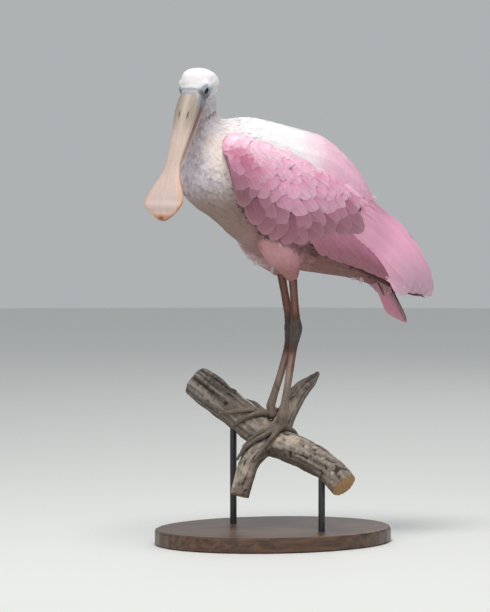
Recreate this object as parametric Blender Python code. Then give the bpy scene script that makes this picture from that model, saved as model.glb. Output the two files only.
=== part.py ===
"""A roseate spoonbill in its first year, life size, gripping a cut length of branch over a display stand.

The bird faces -X with its left side towards -Y. Sizes below are millimetres, and the places of the
bird and the branch are measured from the point between its feet, which stands FEET_LEVEL above the
underside of the base.
"""

import math

import bmesh
import bpy
import numpy as np
from mathutils import Matrix, Vector, noise
from mathutils.bvhtree import BVHTree

# Driving dimensions
MM = 0.001
GAP = 0.35
FEET_LEVEL = 140.0

BASE_LENGTH, BASE_DEPTH, BASE_THICK, BASE_EDGE = 290.0, 230.0, 18.0, 3.0
ROD_RADIUS, ROD_SIDES = 4.0, 16

BILL_PITCH, HEAD_YAW = math.radians(64), math.radians(34)
HEAD_ORIGIN = (-121.0, -35.0, 398.0)
EYE_RADIUS, EYE_PROUD = 5.6, 1.3
EYE_PLACE = (-8.4, -6.3)
LID_RADIUS, LID_THICK = 5.4, 1.3
NOSTRIL_LENGTH, NOSTRIL_WIDTH, NOSTRIL_AT, NOSTRIL_ASIDE = 10.0, 1.7, 24.0, 5.4

WING_THICK = 8.0
VANE_THICK = 0.9
TAIL_FEATHERS, TAIL_LENGTH, TAIL_FEATHER_WIDTH = 12, 74.0, 21.0
TAIL_DIRECTION = Vector((0.52, 0.0, -0.855))

# Body outline, from inside the head down the neck, over the breast and back to the root of the tail:
# dorsal x and z, ventral x and z, half width, sideways shift
BODY = (
    (-92, 415, -108, 405, 8, -20),
    (-79, 405, -102, 391, 13, -13),
    (-76, 391, -105, 375, 16, -9),
    (-75, 379, -110, 355, 18, -6),
    (-70, 369, -116, 329, 22, -3),
    (-62, 367, -119, 302, 31, -1),
    (-54, 367.5, -115, 277, 40, 0),
    (-44, 368.5, -97, 258, 46, 0),
    (-28, 368.5, -74, 243, 50, 0),
    (3, 361.5, -47, 219, 52, 0),
    (35, 353, -14, 198, 52, 0),
    (66, 344, 24, 184, 50, 0),
    (95, 320, 64, 177, 45, 0),
    (118, 290, 96, 172, 36, 0),
    (134, 257, 113, 167, 27, 0),
    (141, 224, 122, 164, 20, 0),
    (144, 196, 128, 162, 15, 0),
)
BODY_RINGS, BODY_SIDES = 32, 22

# Head sections in its middle plane, from the bill's root: forward and up of the top edge and of the
# bottom edge, then half width
HEAD = (
    (3, -6, -17, -14, 11.0),
    (1, 1, -22, -10, 16.5),
    (0, 9, -27, -7, 19.5),
    (-3, 17, -32, -6, 21.5),
    (-9, 24, -38, -6, 22.5),
    (-18, 27.5, -43, -4, 21.5),
    (-27, 26, -46, 0, 18.5),
    (-34, 21, -48, 4, 14.5),
    (-40, 13, -48, 8, 8.0),
)
HEAD_RINGS, HEAD_SIDES = 11, 18

# Bill sections along its length: distance, culmen, mouth line, keel, half width
BILL = (
    (-4, -1.5, -10.0, -23.0, 13.5),
    (4, -0.4, -9.8, -23.0, 15.6),
    (14, -0.2, -9.6, -22.0, 16.6),
    (27, -0.6, -9.4, -20.0, 16.2),
    (53, -2.4, -9.8, -17.4, 12.9),
    (79, -3.6, -9.4, -14.8, 10.4),
    (92, -4.2, -9.4, -13.6, 10.6),
    (105, -4.8, -9.4, -12.8, 13.8),
    (117, -5.4, -9.2, -12.4, 19.6),
    (128, -6.2, -9.4, -12.4, 24.8),
    (135, -7.0, -10.0, -12.8, 26.4),
    (142, -7.1, -10.0, -12.6, 24.5),
    (149, -9.6, -12.4, -14.8, 18.0),
    (154, -12.2, -14.8, -16.9, 10.0),
    (156.5, -14.2, -16.2, -17.9, 4.5),
)
BILL_RINGS = 19

# Folded wing: its upper edge and lower edge, from the bend of the wing to the tip, x, y and z
WING_UPPER = (
    (-79, -33, 332), (-68, -36, 347), (-30, -38, 337), (19, -38, 314), (66, -32, 291),
    (111, -22, 268), (153, -9, 241), (183, -5, 207), (197, -4, 180), (203, -4, 152),
)
WING_LOWER = (
    (-79, -38, 315), (-68, -48, 279), (-44, -52, 247), (-8, -54, 225), (30, -52, 211),
    (75, -46, 197), (119, -36, 181), (150, -27, 167), (175, -18, 155), (195, -10, 146),
)
WING_BELLY = (2, 6, 8, 8, 7, 7, 6, 5, 3, 1)

# Thigh, bare leg and toes of the left side: x, y, z and radius
THIGH = (
    (-22, -26, 250, 17), (-14, -30, 232, 23), (-3, -30, 212, 23),
    (8, -26, 195, 17), (14, -22, 183, 11), (17.2, -19.6, 175, 7.4),
)
LEG = (
    (17.4, -19.4, 174.5, 5.2), (20.5, -16.4, 150, 4.8), (23.2, -13.6, 128, 5.6),
    (24.6, -12.6, 116, 7.4), (23.2, -12.8, 105, 6.2), (20.6, -13.0, 92, 4.8),
    (15.5, -13.6, 62, 4.5), (10.6, -14.0, 34, 4.6), (7.6, -14.4, 16, 5.6),
)
# How the right side's joints differ: x and z
RIGHT_THIGH_MOVES = ((0, 0), (0, 0), (0, 1), (1, 2), (1, 3), (1, 4))
RIGHT_LEG_MOVES = ((1, 4), (2, 2), (3, 0), (3, 0), (3.5, 0), (4, 0), (1.5, 2), (-2.5, 4), (-4.5, 6))
ANKLE_RADIUS = 6.2
# Toe name, heading from straight ahead, length, root radius
TOES = (("inner", -4, 52, 3.2), ("middle", 16, 66, 3.5), ("outer", 36, 56, 3.2), ("hind", 190, 32, 3.0))
CLAW_LENGTH = 8.0

# Branch: the main stem and the one that crosses it, x, y, z and radius
STEM = (
    (-58, 100, 46, 20), (-44, 78, 31, 20.5), (-28, 50, 13, 20), (-12, 20, -7, 19.5),
    (0, 0, -19.5, 18.5), (14, -26, -26.5, 18), (28, -50, -34.5, 18), (42, -74, -48, 17.5), (52, -94, -66, 17),
)
CROSSING = (
    (74, 36, 58, 2.5), (63, 32, 49, 7), (44, 26, 35, 11), (24, 16, 12, 12.5), (4, 2, -14, 14),
    (-15, -5, -24, 14.5), (-31, -8, -38, 13), (-41, -10, -60, 12.5), (-48, -12, -82, 12),
)
BARK_DEPTH = 0.07


def clear_scene():
    for obj in list(bpy.data.objects):
        bpy.data.objects.remove(obj)


def material(name, color, roughness):
    made = bpy.data.materials.new(name)
    made.use_nodes = True
    shader = made.node_tree.nodes["Principled BSDF"]
    shader.inputs["Base Color"].default_value = (*color, 1.0)
    shader.inputs["Roughness"].default_value = roughness
    shader.inputs["Metallic"].default_value = 0.0
    return made


def place(x, y, z):
    """A point given in millimetres from between the feet, as a place in the scene."""
    return Vector((x, y, z + FEET_LEVEL)) * MM


def new_object(name, vertices, faces, finish=None):
    mesh = bpy.data.meshes.new(name)
    mesh.from_pydata([tuple(v) for v in vertices], [], [tuple(f) for f in faces])
    obj = bpy.data.objects.new(name, mesh)
    bpy.context.scene.collection.objects.link(obj)
    recalculate(mesh)
    if finish is not None:
        mesh.materials.append(finish)
        mesh.shade_smooth()
    return obj


def recalculate(mesh):
    bm = bmesh.new()
    bm.from_mesh(mesh)
    bmesh.ops.recalc_face_normals(bm, faces=bm.faces)
    bm.to_mesh(mesh)
    bm.free()


def smooth_rows(rows, count):
    """Rows of numbers resampled on a Catmull-Rom curve through them."""
    rows = np.array(rows, float)
    padded = np.vstack([2 * rows[0] - rows[1], rows, 2 * rows[-1] - rows[-2]])
    made = []
    for along in np.linspace(0, len(rows) - 1, count):
        k = min(int(along), len(rows) - 2)
        t = along - k
        a, b, c, d = padded[k:k + 4]
        made.append(b + 0.5 * t * (c - a + t * (2 * a - 5 * b + 4 * c - d + t * (3 * (b - c) + d - a))))
    return made


def skin_rings(name, rings, finish=None):
    """A closed skin over rings of equal count, with each end closed by a fan of triangles."""
    sides = len(rings[0])
    vertices = [v for ring in rings for v in ring]
    faces = []
    for k in range(len(rings) - 1):
        for j in range(sides):
            a, b = k * sides + j, k * sides + (j + 1) % sides
            faces += [(a, b, b + sides), (a, b + sides, a + sides)]
    for start in (0, (len(rings) - 1) * sides):
        vertices.append(sum((Vector(vertices[start + j]) for j in range(sides)), Vector()) / sides)
        centre = len(vertices) - 1
        faces += [(start + j, start + (j + 1) % sides, centre) for j in range(sides)]
    return new_object(name, vertices, faces, finish)


def tube(name, rows, count, sides, rough=0.0, finish=None):
    """A round bar along rows of x, y, z and radius, with the roughness of bark where it is asked for."""
    path = smooth_rows(rows, count)
    points = [place(*row[:3]) for row in path]
    rings, across = [], None
    for k, centre in enumerate(points):
        ahead = (points[min(k + 1, count - 1)] - points[max(k - 1, 0)]).normalized()
        across = ahead.orthogonal() if across is None else across - ahead * across.dot(ahead)
        across.normalize()
        beside = ahead.cross(across)
        ring = []
        for j in range(sides):
            angle = 2 * math.pi * j / sides
            out = across * math.cos(angle) + beside * math.sin(angle)
            swell = 1 + rough * 2 * noise.noise((centre + out * path[k][3] * MM) * 70)
            ring.append(centre + out * path[k][3] * swell * MM)
        rings.append(ring)
    return skin_rings(name, rings, finish)


def take_modifiers(obj):
    """Makes the mesh that the modifiers give the object's own."""
    graph = bpy.context.evaluated_depsgraph_get()
    made = bpy.data.meshes.new_from_object(obj.evaluated_get(graph))
    obj.modifiers.clear()
    obj.data = made


def keep_largest(obj):
    """Drops every closed surface of the mesh but the largest."""
    bm = bmesh.new()
    bm.from_mesh(obj.data)
    bmesh.ops.remove_doubles(bm, verts=bm.verts, dist=1e-6)
    bm.verts.ensure_lookup_table()
    left, groups = set(bm.verts), []
    while left:
        front, group = [left.pop()], []
        while front:
            vertex = front.pop()
            group.append(vertex)
            near = {e.other_vert(vertex) for e in vertex.link_edges} & left
            left -= near
            front += near
        groups.append(group)

    def spread(group):
        low = [min(v.co[i] for v in group) for i in range(3)]
        high = [max(v.co[i] for v in group) for i in range(3)]
        return math.dist(low, high)

    groups.sort(key=spread)
    bmesh.ops.delete(bm, geom=[v for group in groups[:-1] for v in group], context="VERTS")
    bm.to_mesh(obj.data)
    bm.free()


def join(obj, others, solver="EXACT"):
    """One Boolean union of the object with the others, which are then removed."""
    group = bpy.data.collections.new(obj.name + "_pieces")
    for other in others:
        group.objects.link(other)
    change = obj.modifiers.new("union", "BOOLEAN")
    change.operation, change.solver = "UNION", solver
    change.operand_type, change.collection = "COLLECTION", group
    take_modifiers(obj)
    for other in others:
        bpy.data.objects.remove(other)
    bpy.data.collections.remove(group)
    keep_largest(obj)
    return obj


def cut(obj, cutter):
    """The object less the cutter, which is then removed."""
    change = obj.modifiers.new("cut", "BOOLEAN")
    change.operation, change.solver, change.object = "DIFFERENCE", "EXACT", cutter
    take_modifiers(obj)
    bpy.data.objects.remove(cutter)
    keep_largest(obj)
    return obj


def grown(obj, by=GAP):
    """A copy of the object whose surface stands out by a clearance."""
    copy = new_object(obj.name + "_grown", [v.co for v in obj.data.vertices],
                      [p.vertices for p in obj.data.polygons])
    normals = [v.normal.copy() for v in copy.data.vertices]
    for vertex, normal in zip(copy.data.vertices, normals):
        vertex.co += normal * by * MM
    return copy


def beyond_plane(obj, name, point, normal, finish):
    """The part of a closed object on the side that the normal points to, closed again at the plane."""
    bm = bmesh.new()
    bm.from_mesh(obj.data)
    everything = bm.verts[:] + bm.edges[:] + bm.faces[:]
    bmesh.ops.bisect_plane(bm, geom=everything, plane_co=point, plane_no=normal, clear_inner=True)
    rim = [e for e in bm.edges if e.is_boundary]
    bmesh.ops.holes_fill(bm, edges=rim, sides=0)
    bmesh.ops.triangulate(bm, faces=bm.faces)
    mesh = bpy.data.meshes.new(name)
    bm.to_mesh(mesh)
    bm.free()
    made = bpy.data.objects.new(name, mesh)
    bpy.context.scene.collection.objects.link(made)
    recalculate(mesh)
    mesh.materials.clear()
    mesh.materials.append(finish)
    mesh.shade_smooth()
    keep_largest(made)
    return made


def tree_of(obj):
    return BVHTree.FromPolygons([v.co for v in obj.data.vertices], [p.vertices for p in obj.data.polygons])


def mirrored(obj, name, shift=Vector()):
    """The same piece on the right side."""
    vertices = [Vector((v.co.x, -v.co.y, v.co.z)) + shift * MM for v in obj.data.vertices]
    return new_object(name, vertices, [tuple(reversed(p.vertices)) for p in obj.data.polygons],
                      obj.data.materials[0])


# Body, neck and head

def body_rings():
    """Rings from the neck to the root of the tail, each an oval from the dorsal line to the ventral one."""
    rings = []
    for dx, dz, vx, vz, half, aside in smooth_rows(BODY, BODY_RINGS):
        dorsal, ventral = place(dx, aside, dz), place(vx, aside, vz)
        middle, up = (dorsal + ventral) / 2, (dorsal - ventral) / 2
        ring = []
        for j in range(BODY_SIDES):
            angle = 2 * math.pi * j / BODY_SIDES
            out = math.copysign(abs(math.sin(angle)) ** 0.9, math.sin(angle))
            ring.append(middle + up * math.cos(angle) + Vector((0, half * MM * out, 0)))
        rings.append(ring)
    return rings


def head_axes():
    """Forward along the bill, the bird's left, and up from the crown, for the turned and lowered head."""
    level = Vector((-math.cos(HEAD_YAW), -math.sin(HEAD_YAW), 0))
    forward = level * math.cos(BILL_PITCH) + Vector((0, 0, -math.sin(BILL_PITCH)))
    left = Vector((0, 0, 1)).cross(level)
    return forward, left, forward.cross(left)


def on_head(forward, left, up):
    """A place given in millimetres along the head's own axes, from the top of the bill's root."""
    ahead, aside, above = head_axes()
    return place(*HEAD_ORIGIN) + (ahead * forward + aside * left + above * up) * MM


def make_head():
    level = Vector((-math.cos(HEAD_YAW), -math.sin(HEAD_YAW), 0))
    left = head_axes()[1]
    rings = []
    for top_on, top_up, low_on, low_up, half in smooth_rows(HEAD, HEAD_RINGS):
        top = level * top_on + Vector((0, 0, top_up))
        low = level * low_on + Vector((0, 0, low_up))
        ring = []
        for j in range(HEAD_SIDES):
            angle = 2 * math.pi * j / HEAD_SIDES
            around = (top + low) / 2 + (top - low) / 2 * math.cos(angle) + left * half * math.sin(angle)
            ring.append(place(*HEAD_ORIGIN) + around * MM)
        rings.append(ring)
    return skin_rings("head_whole", rings)


def eye_seat(head_tree, side):
    """Centre of the eyeball and the way that it looks."""
    ahead, up = EYE_PLACE
    outside = on_head(ahead, side * 60, up)
    hit, normal, _, _ = head_tree.ray_cast(outside, -side * head_axes()[1])
    look = (normal + head_axes()[0] * 0.15).normalized()
    return hit - look * (EYE_RADIUS - EYE_PROUD) * MM, look


def make_ball(name, centre, radius, finish=None, detail=(20, 12)):
    bm = bmesh.new()
    bmesh.ops.create_uvsphere(bm, u_segments=detail[0], v_segments=detail[1], radius=radius * MM)
    bmesh.ops.triangulate(bm, faces=bm.faces)
    bmesh.ops.translate(bm, verts=bm.verts, vec=centre)
    mesh = bpy.data.meshes.new(name)
    bm.to_mesh(mesh)
    bm.free()
    obj = bpy.data.objects.new(name, mesh)
    bpy.context.scene.collection.objects.link(obj)
    if finish is not None:
        mesh.materials.append(finish)
        mesh.shade_smooth()
    return obj


def make_lid(name, centre, look):
    """The rim of bare skin round the eye: a low ring, narrower up and down where the lids meet it."""
    turn = look.to_track_quat("Z", "Y").to_matrix()
    seat = centre + look * (EYE_RADIUS - EYE_PROUD - 0.4) * MM
    vertices, faces, around, sides = [], [], 12, 4
    for k in range(around):
        angle = 2 * math.pi * k / around
        out = Vector((math.cos(angle), math.sin(angle), 0))
        for j in range(sides):
            turned = 2 * math.pi * j / sides
            local = out * (LID_RADIUS + LID_THICK * math.cos(turned))
            local += Vector((0, 0, LID_THICK * math.sin(turned)))
            vertices.append(seat + turn @ local * MM)
    for k in range(around):
        for j in range(sides):
            a, b = k * sides + j, k * sides + (j + 1) % sides
            c, d = ((k + 1) % around) * sides + j, ((k + 1) % around) * sides + (j + 1) % sides
            faces += [(a, b, d), (a, d, c)]
    return new_object(name, vertices, faces)


def make_bird_core(finishes):
    """Head, neck and torso, modelled whole and parted with thin cuts, with the eyes set in the head."""
    whole = skin_rings("body_whole", body_rings())
    head = make_head()
    head_tree = tree_of(head)
    lids, balls, cutters = [], [], []
    for side, name in ((1, "eye_left"), (-1, "eye_right")):
        centre, look = eye_seat(head_tree, side)
        lids.append(make_lid(name + "_lid", centre, look))
        balls.append(make_ball(name, centre, EYE_RADIUS, finishes["eye"], (12, 8)))
        cutters.append(make_ball(name + "_socket", centre, EYE_RADIUS + GAP, None, (12, 8)))
    join(whole, [head, *lids])
    for cutter in cutters:
        cut(whole, cutter)
    half = GAP / 2 * MM
    head_cut, head_way = place(-85, 0, 376), Vector((-0.29, 0, 0.957)).normalized()
    neck_cut, neck_way = place(-90, 0, 345), Vector((-0.674, 0, 0.739)).normalized()
    made = {
        "head": beyond_plane(whole, "head", head_cut + head_way * half, head_way, finishes["head"]),
        "torso": beyond_plane(whole, "torso", neck_cut - neck_way * half, -neck_way, finishes["torso"]),
    }
    above = beyond_plane(whole, "above", neck_cut + neck_way * half, neck_way, finishes["neck"])
    made["neck"] = beyond_plane(above, "neck", head_cut - head_way * half, -head_way, finishes["neck"])
    bpy.data.objects.remove(above)
    bpy.data.objects.remove(whole)
    return made


# Bill

def bill_half(name, upper, finish):
    """One mandible: crowned outside and flat where it meets the other, broad and thin in the spoon."""
    rings = []
    for along, culmen, mouth, keel, half in smooth_rows(BILL, BILL_RINGS):
        inner = mouth + (GAP / 2 if upper else -GAP / 2)
        outer = culmen if upper else keel
        ring = [on_head(along, -half, inner), on_head(along, half, inner)]
        for k in range(7):
            angle = math.pi * (k + 0.5) / 7
            crown = math.sin(angle) ** 0.5
            ring.append(on_head(along, half * math.cos(angle) ** 1 * 0.98, inner + (outer - inner) * crown))
        rings.append(ring)
    return skin_rings(name, rings, finish)


def make_bill(head, finishes):
    upper = bill_half("bill_upper", True, finishes["bill"])
    lower = bill_half("bill_lower", False, finishes["bill"])
    for side in (-1, 1):
        slit = make_ball("nostril", Vector(), 1.0, None, (10, 6))
        ahead, left, above = head_axes()
        turn = Matrix((ahead, left, above)).transposed().to_4x4()
        size = Matrix.Diagonal((NOSTRIL_LENGTH / 2, NOSTRIL_WIDTH / 2, 3.0, 1.0))
        seat = Matrix.Translation(on_head(NOSTRIL_AT, side * NOSTRIL_ASIDE, -2.2))
        slit.data.transform(seat @ turn @ size)
        cut(upper, slit)
    for piece in (upper, lower):
        cut(piece, grown(head))


# Wings

def fair(values, rounds=3):
    """Values on a grid, averaged with their neighbours."""
    for _ in range(rounds):
        edge = np.pad(values, 1, mode="edge")
        values = (edge[:-2, 1:-1] + edge[2:, 1:-1] + edge[1:-1, :-2] + edge[1:-1, 2:] + 4 * values) / 8
    return values


class WingSheet:
    """The outer surface of the folded left wing, from bend (0) to tip (1) and upper (0) to lower edge (1)."""

    ALONG, DOWN = 41, 17

    def __init__(self, body_tree):
        upper = np.array(smooth_rows(WING_UPPER, self.ALONG))
        lower = np.array(smooth_rows(WING_LOWER, self.ALONG))
        belly = np.array(smooth_rows([[b] for b in WING_BELLY], self.ALONG))[:, 0]
        down = np.linspace(0, 1, self.DOWN)
        self.grid = upper[:, None, :] + (lower - upper)[:, None, :] * down[None, :, None]
        self.grid[:, :, 1] -= belly[:, None] * (4 * down * (1 - down))[None, :]
        for row in self.grid:
            for point in row:
                start = place(point[0], -200, point[2])
                hit = body_tree.ray_cast(start, Vector((0, 1, 0)))[0]
                if hit is not None:
                    point[1] = min(point[1], hit.y / MM - WING_THICK)
        self.grid[:, :, 1] = fair(self.grid[:, :, 1])

    def point(self, along, down):
        a = min(max(along, 0.0), 1.0) * (self.ALONG - 1)
        d = min(max(down, 0.0), 1.0) * (self.DOWN - 1)
        i, j = min(int(a), self.ALONG - 2), min(int(d), self.DOWN - 2)
        p, q = a - i, d - j
        g = self.grid
        here = (g[i, j] * (1 - p) * (1 - q) + g[i + 1, j] * p * (1 - q)
                + g[i, j + 1] * (1 - p) * q + g[i + 1, j + 1] * p * q)
        beyond_along = (along - min(max(along, 0.0), 1.0)) * (g[-1, j] - g[-3, j]) * (self.ALONG - 1) / 2
        beyond_down = (down - min(max(down, 0.0), 1.0)) * (g[i, -1] - g[i, 0])
        return Vector(here + beyond_along + beyond_down)

    def frame(self, along, down):
        """Two tangents and the outward normal, for one unit of each coordinate."""
        step = 0.02
        a = (self.point(along + step, down) - self.point(along - step, down)) / (2 * step)
        d = (self.point(along, down + step) - self.point(along, down - step)) / (2 * step)
        normal = a.cross(d).normalized()
        return a, d, normal if normal.y < 0 else -normal

    def shifted(self, along, down, offset):
        """Grid coordinates moved by a vector in millimetres that lies in the surface."""
        a, d, _ = self.frame(along, down)
        aa, dd, ad = a.dot(a), d.dot(d), a.dot(d)
        oa, od = offset.dot(a), offset.dot(d)
        scale = aa * dd - ad * ad
        return along + (oa * dd - od * ad) / scale, down + (od * aa - oa * ad) / scale


def vane(name, stations):
    """A feather's vane: stations of left edge, right edge and normal, with both faces split alike."""
    vertices, faces = [], []
    for left, right, normal in stations:
        for point in (left, right):
            for side in (0.5, -0.5):
                vertices.append(place(*(point + normal * VANE_THICK * side)))
    for a in range(0, 4 * len(stations) - 4, 4):
        b = a + 4
        faces += [(a, a + 2, b + 2), (a, b + 2, b), (a + 1, b + 3, a + 3), (a + 1, b + 1, b + 3)]
        faces += [(a, b, b + 1), (a, b + 1, a + 1), (a + 2, a + 3, b + 3), (a + 2, b + 3, b + 2)]
    last = 4 * len(stations) - 4
    faces += [(0, 1, 3), (0, 3, 2), (last, last + 2, last + 3), (last, last + 3, last + 1)]
    return new_object(name, vertices, faces)


VANE_STATIONS = (0.0, 0.45, 0.87, 1.0)
VANE_WIDTHS = (0.6, 1.0, 0.88, 0.4)


def wing_vane(sheet, name, root, tip, width, lift, tilt):
    """A vane over the wing, from grid coordinates at its root to those at its tip."""
    stations = []
    for t, share in zip(VANE_STATIONS, VANE_WIDTHS):
        along, down = (root[i] + (tip[i] - root[i]) * t for i in range(2))
        a, d, normal = sheet.frame(along, down)
        way = (a * (tip[0] - root[0]) + d * (tip[1] - root[1])).normalized()
        aside = normal.cross(way).normalized() * width / 2 * share
        height = -2.6 * (1 - t) ** 2 + lift * min(1.0, t * 2.2)
        points = []
        for sign in (-1, 1):
            place_on = sheet.shifted(along, down, aside * sign)
            points.append(sheet.point(*place_on) + normal * (height + sign * tilt * width / 2 * share))
        stations.append((*points, normal))
    return vane(name, stations)




# Tiers of wing feathers: where the roots run and where the tips run, from the bend of the wing
# towards its tip, then count, width, lift above the wing and sideways tilt
TIERS = (
    ("primary", ((0.60, 0.72), (0.66, 0.62)), ((0.96, 1.14), (1.02, 0.98)), 2, 15, 0.2, 0.10),
    ("secondary", ((0.38, 0.55), (0.58, 0.45)), ((0.48, 1.02), (0.88, 1.02)), 7, 22, 1.2, 0.07),
    ("greater", ((0.06, 0.5), (0.28, 0.58), (0.46, 0.2)), ((0.12, 0.97), (0.38, 1.02), (0.62, 0.5)),
     8, 23, 2.4, 0.09),
    ("tertial", ((0.50, 0.46), (0.56, 0.12)), ((0.93, 0.84), (1.01, 0.16)), 3, 34, 2.6, 0.06),
    ("median", ((0.05, 0.30), (0.26, 0.32), (0.44, 0.06)), ((0.10, 0.66), (0.34, 0.70), (0.57, 0.34)),
     7, 23, 3.6, 0.09),
    ("lesser", ((0.06, 0.05), (0.22, 0.05), (0.38, 0.02)), ((0.08, 0.36), (0.28, 0.40), (0.50, 0.18)),
     6, 23, 4.6, 0.08),
)


def make_wing(sheet, finish):
    """The left wing: a core that lies on the body, with the feathers in their tiers over it."""
    rows, columns = 12, 5
    outer, inner = [], []
    for i in range(rows):
        for j in range(columns):
            along, down = i / (rows - 1) * 0.97, j / (columns - 1)
            point = sheet.point(along, down)
            normal = sheet.frame(along, down)[2]
            edge = abs(2 * down - 1) ** 4
            deep = (WING_THICK + 3) * (1 - along) + 2.4
            outer.append(place(*(point - normal * edge * 1.5)))
            inner.append(place(*(point - normal * deep)))
    faces, shift = [], rows * columns
    for i in range(rows - 1):
        for j in range(columns - 1):
            a = i * columns + j
            b, c, d = a + 1, a + columns + 1, a + columns
            faces += [(a, b, c), (a, c, d), (a + shift, c + shift, b + shift), (a + shift, d + shift, c + shift)]
    rim = [j for j in range(columns - 1)] + [i * columns + columns - 1 for i in range(rows - 1)]
    rim += [(rows - 1) * columns + j for j in range(columns - 1, 0, -1)]
    rim += [i * columns for i in range(rows - 1, 0, -1)]
    for k, a in enumerate(rim):
        b = rim[(k + 1) % len(rim)]
        faces += [(a, a + shift, b + shift), (a, b + shift, b)]
    wing = new_object("wing_left", outer + inner, faces, finish)
    vanes = []
    for name, roots, tips, count, width, lift, tilt in TIERS:
        for k, (root, tip) in enumerate(zip(smooth_rows(roots, count), smooth_rows(tips, count))):
            vanes.append(wing_vane(sheet, f"{name}_{k}", root, tip, width, lift, tilt))
    return join(wing, vanes, "MANIFOLD")


# Tail

def make_tail(torso_end, finish):
    """Tail coverts round the root, and twelve flight feathers closed one over the next."""
    along = TAIL_DIRECTION.normalized()
    up = along.cross(Vector((0, 1, 0))).normalized()
    up = up if up.x > 0 else -up
    dx, dz, vx, vz, half, _ = BODY[-1]
    middle = Vector(((dx + vx) / 2, 0, (dz + vz) / 2))
    high = Vector((dx - vx, 0, dz - vz)) / 2
    ahead = Vector((0, 1, 0)).cross(high).normalized()
    ahead = ahead if ahead.dot(along) > 0 else -ahead
    rings = []
    for reach, tall, wide in ((GAP, 1.0, 1.0), (10, 0.86, 1.0), (22, 0.62, 0.98), (34, 0.3, 0.86)):
        centre = middle + ahead * GAP + along * (reach - GAP)
        lean = high.lerp(up * high.length, min(1.0, reach / 22))
        ring = []
        for j in range(20):
            angle = 2 * math.pi * j / 20
            ring.append(place(*(centre + lean * tall * math.cos(angle)
                                + Vector((0, half * wide * math.sin(angle), 0)))))
        rings.append(ring)
    tail = skin_rings("tail", rings, finish)
    vanes = []
    for k in range(TAIL_FEATHERS):
        side = k - (TAIL_FEATHERS - 1) / 2
        outward = abs(side) / TAIL_FEATHERS * 2
        way = (along + Vector((0, side * 0.035, 0))).normalized()
        root = middle + along * 6 + Vector((0, side * 1.7, 0)) + up * (2.4 - outward * 5)
        beside = way.cross(up).normalized()
        beside = beside if beside.y > 0 else -beside
        tilt = up * (0.16 if side < 0 else -0.16)
        stations = []
        for t, share in zip((0.0, 0.5, 0.9, 1.0), (0.5, 0.95, 0.9, 0.35)):
            centre = root + way * t * (TAIL_LENGTH - 12 * outward) * 0.92
            centre -= up * 3.0 * t * t
            half_width = (beside + tilt) * TAIL_FEATHER_WIDTH / 2 * share
            stations.append((centre - half_width, centre + half_width, up))
        vanes.append(vane(f"rectrix_{k}", stations))
    return join(tail, vanes)


# Legs and feet

def make_perch(finish):
    stem = tube("stand_perch", STEM, 22, 14, BARK_DEPTH, finish)
    crossing = tube("crossing", CROSSING, 16, 10, BARK_DEPTH)
    return join(stem, [crossing])


def walk(tree, start, heading, length, radii):
    """A toe's path: it keeps its heading while it follows the bark, its own radius clear of it."""
    steps = len(radii) - 1
    points, here, way = [], start.copy(), heading.normalized()
    for k, radius in enumerate(radii):
        near, normal = tree.find_nearest(here)[:2]
        here = near + normal * (radius + GAP + 0.15) * MM
        if points:
            way = (here - points[-1]).normalized()
        points.append(here.copy())
        if k < steps:
            here = here + way * length / steps * MM
    return points


def toe_tube(name, points, radii, sides=6):
    rows = [(*((p / MM) - Vector((0, 0, FEET_LEVEL))), r) for p, r in zip(points, radii)]
    return tube(name, rows, len(rows), sides)


def make_foot(name, shank, tree, finish):
    """Three toes ahead and one behind, each with a pad under its joints and a claw, wrapped on the bark."""
    near, normal = tree.find_nearest(shank[0] - Vector((0, 0, 14)) * MM)[:2]
    seat = near + normal * (4.0 + GAP) * MM
    foot = make_ball(name, seat + Vector((0, 0, 2.4)) * MM, ANKLE_RADIUS, finish, (10, 6))
    pieces = []
    for toe, degrees, length, thick in TOES:
        turn = math.radians(degrees)
        side = 1 if name.endswith("left") else -1
        heading = Vector((-math.cos(turn), -side * math.sin(turn), -0.1))
        count = 8
        radii = [thick * (1 - 0.42 * k / (count - 1)) * (1 + 0.10 * math.cos(k * math.pi / 1.5))
                 for k in range(count)]
        points = walk(tree, seat, heading, length, radii)
        tip_way = (points[-1] - points[-2]).normalized()
        near_tip, out = tree.find_nearest(points[-1])[:2]
        claw = [points[-1] - tip_way * 2 * MM]
        claw.append(points[-1] + tip_way * CLAW_LENGTH * 0.5 * MM + out * 0.9 * MM)
        claw.append(points[-1] + tip_way * CLAW_LENGTH * MM + out * 0.1 * MM)
        pieces.append(toe_tube(f"{name}_{toe}", points, radii))
        pieces.append(toe_tube(f"{name}_{toe}_claw", claw, (1.9, 1.5, 0.6), 5))
    pieces.append(toe_tube(name + "_stub", [seat, shank[0], shank[1]], (6.0, LEG[-1][3], LEG[-2][3]), 10))
    return join(foot, pieces)


def make_leg(side, torso, perch, finishes):
    """Feathered thigh, bare leg with its ankle joint, and the foot, of one side."""
    word = "left" if side > 0 else "right"

    def rows_for(rows, moves):
        made = []
        for k, (x, y, z, r) in enumerate(rows):
            move = moves[k] if side < 0 else (0, 0)
            made.append((x + move[0], side * y, z + move[1], r))
        return made

    thigh = tube("thigh_" + word, rows_for(THIGH, RIGHT_THIGH_MOVES), 10, 16, 0.0, finishes["torso"])
    cut(thigh, grown(torso))
    leg_rows = rows_for(LEG, RIGHT_LEG_MOVES)
    leg = tube("leg_" + word, leg_rows, 20, 10, 0.0, finishes["leg"])
    cut(thigh, grown(leg))
    ankle, shank = place(*leg_rows[-1][:3]), place(*leg_rows[-2][:3])
    way = (shank - ankle).normalized()
    foot_whole = make_foot("foot_" + word, (ankle, shank), tree_of(perch), finishes["leg"])
    cut(foot_whole, grown(perch))
    parted = beyond_plane(foot_whole, "part", ankle - way * GAP * MM, -way, finishes["leg"])
    bpy.data.objects.remove(foot_whole)
    parted.name = "foot_" + word
    return thigh


# Stand

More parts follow.
